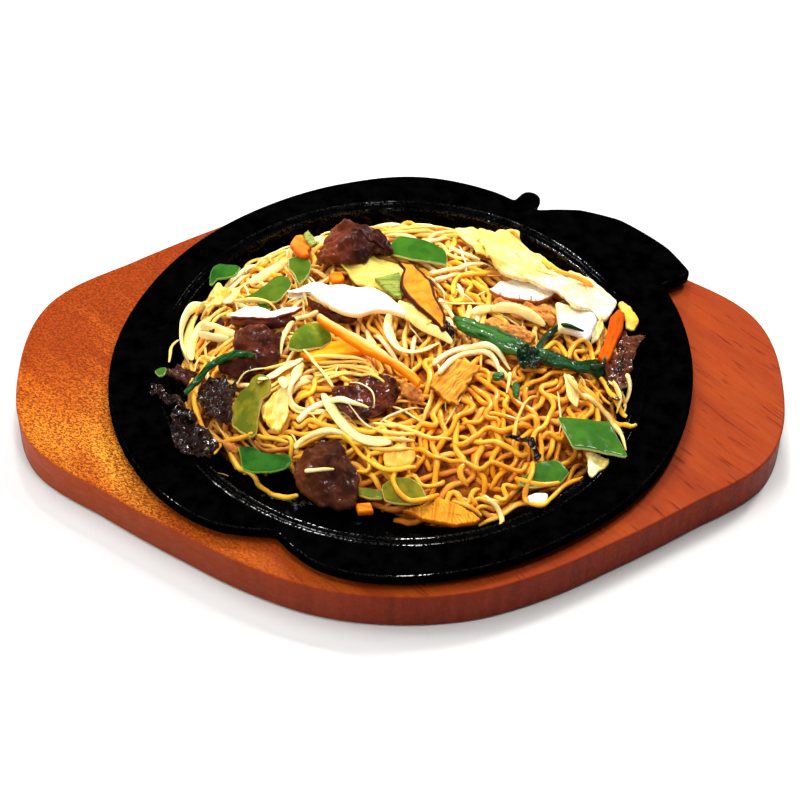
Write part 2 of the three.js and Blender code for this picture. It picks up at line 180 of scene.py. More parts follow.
# A bell round an angle, 1 at its middle; a higher power gives it a flatter top.
def angleBell(degrees, angle, width, power=2):
    off = np.mod(degrees - angle + 180, 360) - 180
    return np.exp(-((off / width) ** power))


# Cubic curve through [degrees, radius] knots with the mean slope at each, for an array of angles.
def polarRadius(knots, degrees):
    at, radius = np.array(knots, float).T
    at = np.concatenate([at[-2:] - 360, at, at[:2] + 360])
    radius = np.concatenate([radius[-2:], radius, radius[:2]])
    angle = np.mod(degrees, 360)
    k = np.clip(np.searchsorted(at, angle, "right") - 1, 1, len(at) - 3)
    span = at[k + 1] - at[k]
    t = (angle - at[k]) / span
    slopeFrom = (radius[k + 1] - radius[k - 1]) / (at[k + 1] - at[k - 1]) * span
    slopeTo = (radius[k + 2] - radius[k]) / (at[k + 2] - at[k]) * span
    return (radius[k] * (1 + 2 * t) * (1 - t) ** 2 + slopeFrom * t * (1 - t) ** 2
            + radius[k + 1] * t * t * (3 - 2 * t) - slopeTo * t * t * (1 - t))


# The same closed curve with its points evenly spaced along it.
def evenLoop(points, count):
    closed = np.vstack([points, points[:1]])
    run = np.concatenate([[0], np.cumsum(np.linalg.norm(np.diff(closed, axis=0), axis=1))])
    at = np.linspace(0, run[-1], count, endpoint=False)
    return np.stack([np.interp(at, run, closed[:, k]) for k in range(2)], -1)


# Outward unit normals of a closed anticlockwise curve.
def loopNormals(points):
    tangent = np.roll(points, -2, axis=0) - np.roll(points, 2, axis=0)
    normal = np.stack([tangent[:, 1], -tangent[:, 0]], -1)
    return normal / np.linalg.norm(normal, axis=1, keepdims=True)


# Helpers for materials

# Colour from 0 to 255 values, as the shaders want it.
def tint(red, green, blue):
    share = np.array([red, green, blue]) / 255
    linear = np.where(share <= 0.04045, share / 12.92, ((share + 0.055) / 1.055) ** 2.4)
    return (*linear.tolist(), 1)


def addNode(tree, kind, values=None, **settings):
    made = tree.nodes.new("ShaderNode" + kind)
    for key, value in settings.items():
        setattr(made, key, value)
    for key, value in (values or {}).items():
        if isinstance(value, bpy.types.NodeSocket):
            tree.links.new(value, made.inputs[key])
        else:
            made.inputs[key].default_value = value
    return made


# Mix of two colours; sockets 0, 6 and 7 of the node are the factor and the colours.
def mixColours(tree, factor, first, second):
    return addNode(tree, "Mix", {0: factor, 6: first, 7: second}, data_type="RGBA").outputs[2]


# A value moved from one range to another, clamped.
def mapValue(tree, value, low, high, toLow=0.0, toHigh=1.0):
    made = addNode(tree, "MapRange", {0: value, 1: low, 2: high, 3: toLow, 4: toHigh}, clamp=True)
    return made.outputs[0]


def doMath(tree, operation, first, second=0.0):
    return addNode(tree, "Math", {0: first, 1: second}, operation=operation).outputs[0]


def times(tree, first, second):
    return doMath(tree, "MULTIPLY", first, second)


def plus(tree, first, second):
    return doMath(tree, "ADD", first, second)


def readValue(tree, label):
    return addNode(tree, "Attribute", attribute_name=label).outputs["Fac"]


# Place on the object, or a pattern's place: turned first and stretched along its own axes after that.
def objectPlace(tree, scale=None, turn=0.0):
    place = addNode(tree, "TexCoord").outputs["Object"]
    if not scale:
        return place
    made = addNode(tree, "Mapping", {"Vector": place, "Rotation": (0, 0, math.radians(turn)),
                                     "Scale": [1 / share for share in scale]}, vector_type="TEXTURE")
    return made.outputs[0]


# Place along and across a piece from its own values, stretched by the scales.
def ownPlace(tree, alongScale=1.0, acrossScale=1.0):
    along = times(tree, readValue(tree, "along"), alongScale)
    across = times(tree, readValue(tree, "across"), acrossScale)
    return addNode(tree, "CombineXYZ", {0: along, 1: across, 2: readValue(tree, "tone")}).outputs[0]


def noise(tree, place, scale, detail=3.0, roughness=0.55, distortion=0.0):
    made = addNode(tree, "TexNoise", {
        "Vector": place, "Scale": scale, "Detail": detail, "Roughness": roughness, "Distortion": distortion})
    return made.outputs["Fac"]


def newGroup(name, inputs, outputs):
    group = bpy.data.node_groups.new(name, "ShaderNodeTree")
    for label, kind, value in inputs:
        socket = group.interface.new_socket(label, in_out="INPUT", socket_type="NodeSocket" + kind)
        socket.default_value = value
    for label, kind in outputs:
        group.interface.new_socket(label, in_out="OUTPUT", socket_type="NodeSocket" + kind)
    return group, group.nodes.new("NodeGroupInput").outputs, group.nodes.new("NodeGroupOutput").inputs


def placeGroup(tree, group, values):
    return addNode(tree, "Group", values, node_tree=group).outputs


# Two colours in soft patches: noise at a scale, its middle part stretched to a full mix.
def makePatches():
    group, start, end = newGroup("softPatches", [
        ("Place", "Vector", (0, 0, 0)), ("Scale", "Float", 100), ("First", "Color", (1, 1, 1, 1)),
        ("Second", "Color", (0, 0, 0, 1)), ("Low", "Float", 0.4), ("High", "Float", 0.6),
    ], [("Color", "Color")])
    grain = noise(group, start["Place"], start["Scale"])
    share = mapValue(group, grain, start["Low"], start["High"])
    group.links.new(mixColours(group, share, start["First"], start["Second"]), end["Color"])
    return group


# Oil on the surface: fine noise and small round drops as a height, and where the drops are.
def makeGrease():
    group, start, end = newGroup("greaseDrops", [
        ("Place", "Vector", (0, 0, 0)), ("Scale", "Float", 500), ("Drops", "Float", 0.3),
    ], [("Height", "Float"), ("Share", "Float")])
    cells = addNode(group, "TexVoronoi", {"Vector": start["Place"], "Scale": start["Scale"]})
    drops = mapValue(group, cells.outputs["Distance"], start["Drops"], 0.0)
    fine = noise(group, start["Place"], times(group, start["Scale"], 0.7), 2.0)
    height = plus(group, times(group, drops, 0.6), times(group, fine, 0.5))
    group.links.new(height, end["Height"])
    group.links.new(drops, end["Share"])
    return group


softPatches = makePatches()
greaseDrops = makeGrease()


def patchColour(tree, place, scale, first, second, low=0.4, high=0.6):
    values = {"Place": place, "Scale": scale, "First": first, "Second": second, "Low": low, "High": high}
    return placeGroup(tree, softPatches, values)["Color"]


plainSockets = {
    "rough": "Roughness", "specular": "Specular IOR Level", "coatRough": "Coat Roughness",
    "coatIor": "Coat IOR",
    "inner": "Subsurface Weight", "innerScale": "Subsurface Scale", "innerReach": "Subsurface Radius",
}


# A material whose surface gets its colour, roughness and height from sockets, and the rest as plain values.
def newMaterial(name, build, **plain):
    material = bpy.data.materials.new(name)
    material.use_nodes = True
    tree = material.node_tree
    surface = tree.nodes["Principled BSDF"]
    for key, value in plain.items():
        surface.inputs[plainSockets[key]].default_value = value
    for label, value in build(tree).items():
        if label == "Height":
            height, strength, distance = value
            bump = addNode(tree, "Bump", {"Height": height, "Strength": strength, "Distance": distance})
            tree.links.new(bump.outputs[0], surface.inputs["Normal"])
        elif isinstance(value, bpy.types.NodeSocket):
            tree.links.new(value, surface.inputs[label])
        else:
            surface.inputs[label].default_value = value
    return material


# Board

boardSet = {
    "height": 19,
    "radii": [170, 166.6, 144.6, 132.3, 128.3, 128, 127.6],  # of one quarter, every 15 degrees
    "footInset": 0.4,
    "edgeRound": 1.0,
    "recess": 109,  # radius, about the plate's centre
    "recessDepth": 7.1,
    "sides": 480,
    "swell": 0.15,  # height of the top's waves
}
plateCentre = np.array([0, 1.7])


def boardMaterial():
    def build(tree):
        grainTurn = -47  # of the grain, from +X
        broad = objectPlace(tree, (9, 60, 40), grainTurn)
        place = addNode(tree, "SeparateXYZ", {0: objectPlace(tree)}).outputs
        east = mapValue(tree, place["X"], -0.16, 0.05)
        west = mapValue(tree, east, 0.8, 0.3)
        golden = mixColours(tree, east, tint(208, 108, 20), tint(146, 59, 14))
        dark = mixColours(tree, east, tint(150, 61, 12), tint(118, 40, 11))
        figure = mapValue(tree, noise(tree, broad, 1.0, 4.0, 0.6), 0.3, 0.7)
        # painted shadow of the plate: towards the back of the west end the top turns to the dark colour
        north = times(tree, mapValue(tree, place["Y"], -0.01, 0.06, 0.0, 0.9), west)
        figure = plus(tree, figure, north)
        colour = mixColours(tree, figure, golden, dark)
        along = objectPlace(tree, (60, 560, 300), grainTurn)
        fibres = mapValue(tree, noise(tree, along, 1.0, 3.0, 0.65), 0.35, 0.68)
        colour = mixColours(tree, times(tree, fibres, 0.35), colour, tint(136, 40, 12))
        glow = mapValue(tree, noise(tree, objectPlace(tree, (12, 38, 40), -54), 1.0, 3.0), 0.34, 0.54)
        south = mapValue(tree, plus(tree, place["Y"], times(tree, place["X"], -0.35)), 0.045, -0.01)
        glow = times(tree, glow, mapValue(tree, place["X"], -0.095, -0.125))
        glow = times(tree, glow, times(tree, south, 0.8))
        colour = mixColours(tree, glow, colour, tint(236, 158, 46))
        curl = objectPlace(tree, (820, 1450, 1000), -25)
        specks = mapValue(tree, noise(tree, curl, 1.0, 2.0, 0.5, 0.8), 0.44, 0.56)
        specks = times(tree, specks, west)
        colour = mixColours(tree, times(tree, specks, 0.9), colour, tint(104, 36, 6))
        streaks = noise(tree, objectPlace(tree, (55, 900, 500), grainTurn), 1.0, 2.0)
        pores = times(tree, mapValue(tree, streaks, 0.62, 0.68), mapValue(tree, east, 0.2, 0.8))
        colour = mixColours(tree, times(tree, pores, 0.8), colour, tint(92, 22, 10))
        # the wall's colour, darker than the top: its own end grain, and partly painted shade of the side;
        # lighter at the west end
        grain = noise(tree, objectPlace(tree, (260, 260, 16)), 1.0, 3.0)
        side = mixColours(tree, grain, tint(84, 24, 12), tint(150, 50, 24))
        side = mixColours(tree, mapValue(tree, east, 0.8, 0.0), side, tint(168, 70, 30))
        colour = mixColours(tree, readValue(tree, "wall"), colour, side)
        height = doMath(tree, "SUBTRACT", fibres, plus(tree, specks, pores))
        roughness = mapValue(tree, fibres, 0, 1, 0.42, 0.62)
        return {"Base Color": colour, "Roughness": roughness, "Height": (height, 0.35, 0.0004)}

    return newMaterial("oiledWood", build, specular=0.06)


# Rings from the underside's middle out, up round the edge and in over the top to the recess's floor.
def makeBoard():
    sets = boardSet
    quarter = len(sets["radii"]) - 1
    fold = [i % (2 * quarter) for i in range(4 * quarter)]
    knots = [(90 / quarter * i, sets["radii"][min(f, 2 * quarter - f)]) for i, f in enumerate(fold)]
    degrees = np.linspace(0, 360, 2400, endpoint=False)
    radius = polarRadius(knots, degrees)
    outline = radius[:, None] * np.stack([np.cos(np.radians(degrees)), np.sin(np.radians(degrees))], -1)
    outline = evenLoop(outline, sets["sides"])
    normal = loopNormals(outline)
    turn = np.arctan2(*(outline - plateCentre).T[::-1])
    circle = plateCentre + sets["recess"] * np.stack([np.cos(turn), np.sin(turn)], -1)
    top, edge = sets["height"], sets["edgeRound"]
    profile = [(30, 0, 0), (sets["footInset"] + 1, 0, 0), (sets["footInset"], 0.8, 1)]
    profile += [(0.15, top - edge - 0.6, 1)]
    profile += [(edge * (1 - math.cos(a)), top - edge + edge * math.sin(a), 1 - a / 1.571)
                for a in np.linspace(0, math.pi / 2, 7)]
    rings, walls = [], []
    for inset, z, wall in profile:
        rings.append(ringAt(outline - normal * inset, z))
        walls.append(wall)
    inner = rings[-1][:, :2]
    swell = waves(3, 60)
    for share in np.linspace(0, 1, 9)[1:]:
        level = inner + (circle - inner) * share
        lift = sets["swell"] * swell(*level.T) * math.sin(math.pi * share)
        rings.append(ringAt(level, top + lift))
    floor = top - sets["recessDepth"]
    for inset, z in [(0.4, top - 0.6), (0.5, floor + 0.5), (1, floor), (60, floor)]:
        rings.append(ringAt(circle - inset * (circle - plateCentre) / sets["recess"], z))
    walls += [0] * (len(rings) - len(walls))
    wall = np.concatenate([[0], np.repeat(walls, sets["sides"]), [0]])
    shape = ringStack((0, 0, 0), rings, (*plateCentre, floor), True)
    newPiece("woodenBoard", *shape, {"wall": wall}, boardMaterial(), "board", "board")


# Iron plate

plateSet = {
    "knots": [
        (5, 129.8), (24, 131), (40, 128.6), (54, 124.2), (62, 122.4), (70, 125), (87, 127.4), (104, 124.7),
        (122, 122.8), (140, 123.2), (160, 125), (180, 128.4), (200, 130.4), (220, 129.1), (232, 124.6),
        (240, 117), (243.4, 114.2), (248, 118.2), (255, 123.6), (265, 125.7), (284, 124.5), (306, 123.7),
        (330, 127.3), (350, 128.6),
    ],
    "leaf": [(24.1, 120), (24.3, 143), (26, 147), (33, 146.8), (44.3, 142), (51.8, 134.4), (58.6, 123.1)],
    "stemAngle": 62.3,
    "stemReach": 132.4,
    "stemWidth": 11,
    "stemFoot": 127,  # radius at which its width is measured
    "rimTop": 26.7,
    "rimThickness": 5.5,
    "edgeRound": 2.2,
    "ledgeOuter": 107.2,  # the rim steps down a little before the well
    "ledgeInner": 102.6,
    "ledgeDrop": 0.7,
    "floorRadius": 100.4,
    "floorHeight": 16.7,
    "footRadius": 97,
    "footHeight": 12.2,
    "oilAt": [(260, 58), (56, 27), (112, 24)],  # angle and width of the stretches whose lips shine
    "oilLeast": 0.05,
    "edgeShine": (1.08, 0.14),  # angle up the rounded edge at which it shines, and how far about it
    "sides": 900,
}


def ironMaterial():
    def build(tree):
        place = objectPlace(tree)
        sand = noise(tree, place, 900, 4.0, 0.7)
        cast = noise(tree, place, 160, 3.0)
        grease = placeGroup(tree, greaseDrops, {"Place": place, "Scale": 620, "Drops": 0.42})
        dots = mapValue(tree, noise(tree, place, 1100, 1.0), 0.46, 0.53)
        broken = times(tree, dots, mapValue(tree, noise(tree, place, 60, 2.0), 0.33, 0.5))
        shine = times(tree, readValue(tree, "lip"), broken)
        wet = times(tree, times(tree, readValue(tree, "wet"), 0.35), grease["Share"])
        coat = doMath(tree, "MAXIMUM", shine, wet)
        height = plus(tree, times(tree, sand, 0.5), plus(tree, cast, grease["Height"]))
        colour = mixColours(tree, mapValue(tree, cast, 0.35, 0.65), tint(0, 0, 0), tint(3, 3, 3))
        return {"Base Color": colour, "Roughness": mapValue(tree, sand, 0.3, 0.7, 0.5, 0.7),
                "Coat Weight": coat, "Height": (height, 0.5, 0.0005)}

    return newMaterial("castIron", build, specular=0.0, coatRough=0.08, coatIor=1.9)


# Outline of the apple with its leaf and stem: the farthest of the three at each angle.
def plateOutline():
    sets = plateSet
    degrees = np.linspace(0, 360, 7200, endpoint=False)
    body = polarRadius(sets["knots"], degrees)
    leafAt, leafRadius = np.array(sets["leaf"]).T
    fine = np.linspace(0, len(leafAt) - 1, 60)
    bends = np.interp(fine, np.arange(len(leafAt)), leafRadius)
    leaf = np.interp(degrees, np.interp(fine, np.arange(len(leafAt)), leafAt), bends, left=0, right=0)
    off = np.radians(degrees - sets["stemAngle"])
    half = sets["stemWidth"] / 2
    side = np.abs(np.sin(off)) * sets["stemFoot"]
    tip = sets["stemReach"] - half + np.sqrt(np.maximum(half * half - side * side, 0))
    stem = np.where((side < half) & (np.cos(off) > 0), tip, 0)
    radius = np.maximum(body, np.maximum(leaf, stem))
    spread = np.exp(-0.5 * (np.arange(-12, 13) / 4) ** 2)
    radius = np.convolve(np.concatenate([radius[-12:], radius, radius[:12]]), spread / spread.sum(), "valid")
    angle = np.radians(degrees)
    return evenLoop(radius[:, None] * np.stack([np.cos(angle), np.sin(angle)], -1), sets["sides"])


# Rings from the underside's middle out under the rim, round its edge, in over it and down into the well.
def makePlate():
    sets = plateSet
    outline = plateOutline()
    normal = loopNormals(outline)
    for _ in range(3):
        normal = normal + np.roll(normal, 1, axis=0) + np.roll(normal, -1, axis=0)
        normal /= np.linalg.norm(normal, axis=1, keepdims=True)
    turn = np.arctan2(outline[:, 1], outline[:, 0])
    unit = np.stack([np.cos(turn), np.sin(turn)], -1)
    top, edge = sets["rimTop"], sets["edgeRound"]
    bottom = top - sets["rimThickness"]
    rings, lips, wets = [], [], []

    def addRing(level, z, lip=0.0, wet=0.0):
        rings.append(ringAt(level + plateCentre, z))
        lips.append(lip)
        wets.append(wet)

    for radius, z in [(60, sets["footHeight"]), (sets["footRadius"], sets["footHeight"]),
                      (sets["footRadius"] + 3, sets["footHeight"] + 3.5), (107, bottom)]:
        addRing(unit * radius, z)
    shineAt, shineWidth = sets["edgeShine"]
    for a in [*np.linspace(-math.pi / 2, 0, 7), *np.linspace(0, math.pi / 2, 19)[1:]]:
        inset = edge * (1 - math.cos(a))
        level = top - edge if a > 0 else bottom + edge
        shine = math.exp(-((a - shineAt) / shineWidth) ** 2)
        addRing(outline - normal * inset, level + edge * math.sin(a), shine)
    inner = outline - normal * edge
    uneven = waves(8, 26)
    start = unit * (sets["ledgeOuter"] + 1.2)
    for share in np.linspace(0, 1, 11)[1:]:
        level = inner + (start - inner) * share
        addRing(level, top + 0.12 * uneven(*level.T) * math.sin(math.pi * share))
    ledge = top - sets["ledgeDrop"]
    outer, inside = sets["ledgeOuter"], sets["ledgeInner"]
    bead = [(0.9, 0.2, 1), (0.6, 0.32, 1), (0.3, 0.34, 1), (0, 0.2, 0.6)]  # out, up and shine, of both lips
    profile = [(outer + out, top + up, lip) for out, up, lip in bead]
    profile += [(outer - 0.4, ledge + 0.1, 0.2), (outer - 1, ledge, 0.05), (inside + 1.7, ledge, 0.1)]
    profile += [(inside + 0.4 + out, ledge + up, lip) for out, up, lip in bead]
    profile += [(inside + 0.1, ledge - 0.4, 0.4), (inside, ledge - 1.1, 0.2), (inside - 0.3, ledge - 2, 0.1)]
    for radius, z, lip in profile:
        wobble = 0.12 * uneven(*(unit * radius * 2).T)
        addRing(unit * (radius + wobble)[:, None], z, lip, 0.2)
    floor, low = sets["floorRadius"], sets["floorHeight"]
    profile = [(floor + 1.2, low + 4, 0.5), (floor + 0.5, low + 1.6, 0.9), (floor - 0.3, low + 0.5, 1)]
    profile += [(floor - 1.6, low + 0.1, 1), (floor - 4, low, 1), (floor - 9, low, 0.8)]
    profile += [(floor - 18, low, 0.6), (60, low, 0.3)]
    for radius, z, wet in profile:
        addRing(unit * radius, z, 0.1, wet)
    oil = np.full(len(turn), sets["oilLeast"])
    for angle, width in sets["oilAt"]:
        oil = np.maximum(oil, angleBell(np.degrees(turn), angle, width, 4))
    values = {"lip": np.concatenate([[0], np.outer(lips, oil).ravel(), [0]]),
              "wet": np.concatenate([[0], np.repeat(wets, sets["sides"]), [0]])}
    shape = ringStack((*plateCentre, sets["footHeight"]), rings, (*plateCentre, low), True)
    newPiece("ironPlate", *shape, values, ironMaterial(), "iron", "iron_plate")


makeBoard()
makePlate()
print("board and plate made")


# Heap form

heapSet = {
    "base": 17.1,
    "rise": 29,
    "reach": 98.5,
    "dips": [(248, 30, 12.5), (100, 38, 5)],  # angle, width and depth of each
    "bareDips": [(237, 13, 9), (262, 16, 5)],  # further dips, that noodles keep out of
    "fall": 0.7,
    "lean": 0.15,
    "shoulder": 0.93,
    "restGap": 0.9,
    # the core's dark colour is partly painted shade
    "coreDepth": 6.5,  # of the dark core under the noodles
    "swell": 1.1,  # height of the swells on its top
}


def reachAt(degrees, dips=heapSet["dips"]):
    reach = np.full(np.shape(degrees), float(heapSet["reach"]))
    for angle, width, depth in dips:
        reach = reach - depth * angleBell(degrees, angle, width)
    return reach


# Reach of what lies loose, which leaves more of the plate bare.
def looseReach(degrees):
    return reachAt(degrees, heapSet["dips"] + heapSet["bareDips"])


# Share of the way from the heap's middle to its edge.
def shareAt(x, y):
    across, along = x - plateCentre[0], y - plateCentre[1]
    return np.hypot(across, along) / reachAt(np.degrees(np.arctan2(along, across)))


# Height of the heap: flat-topped, falling ever steeper, with gentle swells.
def heapTop(x, y, farthest=1.0):
    sets = heapSet
    share = np.minimum(shareAt(x, y), farthest)
    distance = np.maximum(np.hypot(x - plateCentre[0], y - plateCentre[1]), 1)
    fall = sets["fall"] - sets["lean"] * (y - plateCentre[1]) / distance
    swell = sets["swell"] * np.sin(x / 12 + 1) * np.cos(y / 14 - 0.5) * (1 - share ** 2)
    return sets["base"] + sets["rise"] * (1 - share ** 5) ** fall * (1 - 0.2 * share ** 2) + swell


# Toppings: x and y of the middle, turn of the length from +X, and sizes, each the same as its solid's:
# square is the outline's exponent, lift the height over the heap, bank the slope across, arch and cup how
# far the middle stands over the ends and edges, crown extra thickness, bend a bow to one side, ripple waves
# along it. A piece of stiff 1 lies flat on the heap, and one of stiff 0 follows it.

pepperSizes = {
    "pepper_left": dict(x=-81, y=48, turn=8, length=15, width=12, thick=2.6, lift=1),
    "pepper_back_left": dict(x=-47.5, y=39, turn=-52, length=20, width=13, thick=2.6, arch=1),
    "pepper_leaf_left": dict(x=-61.5, y=25.8, turn=23, length=24, width=15, thick=2.6, taper=0.35, arch=2),
    "pepper_dome": dict(x=-42, y=-7, turn=14, length=18, width=15, thick=2.6, square=2.4, arch=3, cup=2.5),
    "pepper_back": dict(x=7, y=51, turn=-10, length=28, width=15, thick=2.6, arch=1.5, lift=1),
    "pepper_curved": dict(x=-63, y=-41, turn=-105, length=27, width=14, thick=2.8, cup=2, bend=-2, lift=3),
    "pepper_front_left": dict(x=-57.5, y=-63, turn=-4, length=23, width=12, thick=3, bend=-2),
    "pepper_right": dict(x=82, y=-49, turn=-6, length=27, width=17, thick=2.8, square=9, skew=-3.8, lift=2.6),
    "pepper_front_right": dict(x=64, y=-67, turn=6, length=24, width=11, thick=2.8, square=6),
    "pepper_ring": dict(x=3, y=-82, turn=-2, length=19, width=12, thick=3, lift=2),
    "pepper_strip": dict(x=-13.5, y=-82.5, turn=-8, length=13, width=6, thick=2.6),
}
capSizes = {
    "cap_brown": dict(x=-64, y=-11, turn=-78, length=31, width=23, thick=2.4, square=3, arch=1, crown=2.5),
    "cap_front": dict(x=-29.5, y=-71.5, turn=-3, length=30, width=28, thick=2.4, square=2.2, crown=2),
    "cap_back": dict(x=-22.5, y=58, turn=0, length=36, width=27, thick=2.4, square=2.6, crown=4, lift=4),
    "ear_center": dict(x=-15, y=-40, turn=8, length=30, width=23, thick=2, square=2.1, crown=2.5, ripple=0.5),
}
sliceSizes = {
    "slice_white_small": dict(x=-60, y=10.4, turn=2, length=33, width=8.5, thick=4, bend=2, lift=0.6),
    "slice_white": dict(x=-21, y=14, turn=-20, length=52, width=15, thick=5, bend=1, taper=-0.1, lift=3.4),
    "slice_orange": dict(x=10, y=16, turn=-60, length=47, width=12, thick=3.5, square=2.4, bend=4, lift=3),
    "slice_gills": dict(x=55, y=25.5, turn=3, length=35, width=12, thick=3.4, bend=3, square=2.6),
    "slice_front": dict(x=19, y=-88, turn=-6, length=34, width=9, thick=3.2, square=2.2, bend=-3, bank=0.3,
                        lift=-2),
    "gill_fan": dict(x=21, y=-33, turn=-60, length=21, width=15, thick=2.6, taper=-0.3, square=3, arch=1),
}
earSizes = {
    "ear_left": dict(x=-88, y=-45, turn=-52, length=30, width=20, thick=2, ripple=1.6, lift=-0.5, stiff=0),
    "ear_tail": dict(x=-102.5, y=-23.5, turn=-36, length=22, width=7, thick=2, ripple=0.6, lift=1, stiff=0),
    "ear_sparkle": dict(x=-81, y=-33, turn=-62, length=21, width=17, thick=2, ripple=0.8, lift=4, stiff=0),
    "ear_right": dict(x=99, y=-4, turn=75, length=38, width=13, thick=2, ripple=1.6, lift=1, stiff=0),
    "shred_dark": dict(x=50.5, y=-57, turn=-34, length=15, width=5, thick=2.4, bend=1.5, lift=1),
}
carrotSizes = {
    "carrot_long": dict(x=-14.6, y=-18.2, turn=-38, length=58, width=5, thick=4, square=8, lift=5.6),
    "carrot_wedge": dict(x=-23, y=-13, turn=14, length=26, width=8, thick=2.6, square=5, taper=-0.3),
    "carrot_right": dict(x=91, y=8, turn=74, length=34, width=6, thick=5, square=8, lift=0.6),
    "carrot_back": dict(x=-47.4, y=60, turn=-60, length=14, width=11, thick=5, square=3),
    "carrot_bit": dict(x=-13.5, y=-89, turn=-15, length=8, width=6, thick=4, lift=-2),
}
cabbageSizes = {
    "cabbage_back": dict(x=-19, y=34, turn=-4, length=37, width=19, thick=2, ripple=0.6, stiff=0),
    "cabbage_leaf": dict(x=62.5, y=46, turn=-32, length=67, width=25, thick=2.6, arch=2.5, cup=-2, ripple=1,
                         lift=3, stiff=0),
    "cabbage_rib": dict(x=76, y=13, turn=-14, length=19, width=16, thick=6, square=6, taper=0.1),
    "cabbage_chunk": dict(x=-50, y=-44, turn=80, length=20, width=14, thick=4, square=3),
    "cabbage_right": dict(x=86, y=-57, turn=45, length=16, width=7, thick=2, ripple=0.6, lift=-0.6, stiff=0),
    "onion_gold": dict(x=-2, y=-67, turn=70, length=11, width=11, thick=2.6, square=3),
    "onion_right": dict(x=74.5, y=-27, turn=-68, length=13, width=6, thick=2.4),
    "white_bit": dict(x=60, y=-78.5, turn=10, length=10, width=7, thick=4, lift=-1),
}
greenSizes = {
    "stalk": dict(x=48.5, y=-8, turn=-21, length=52, width=7, thick=4, square=6, bend=1, lift=2.4),
    "stalk_leaf": dict(x=79, y=-14, turn=-16, length=20, width=6, thick=2, ripple=0.5, lift=1, stiff=0),
    "strip_green": dict(x=-78, y=-25, turn=20, length=32, width=3.6, thick=2, bend=8, lift=7.6, stiff=0),
}
meatSizes = {
    "meat_left": dict(x=-71, y=-54.5, turn=-40, length=9, width=5, thick=3),
    "meat_edge": dict(x=-96, y=-13, turn=-30, length=13, width=8, thick=3, lift=0.5),
    "meat_back": dict(x=53.5, y=13.5, turn=-8, length=22, width=7, thick=3, bend=1),
    "meat_orange": dict(x=46, y=3.5, turn=-25, length=21, width=6, thick=3, square=3),
    "meat_mid": dict(x=5, y=-37, turn=-50, length=12, width=6, thick=3),
}
plainSizes = dict(square=4, taper=0, skew=0, lift=0, bank=0, arch=0, cup=0, crown=0, bend=0, ripple=0,
                  stiff=1)

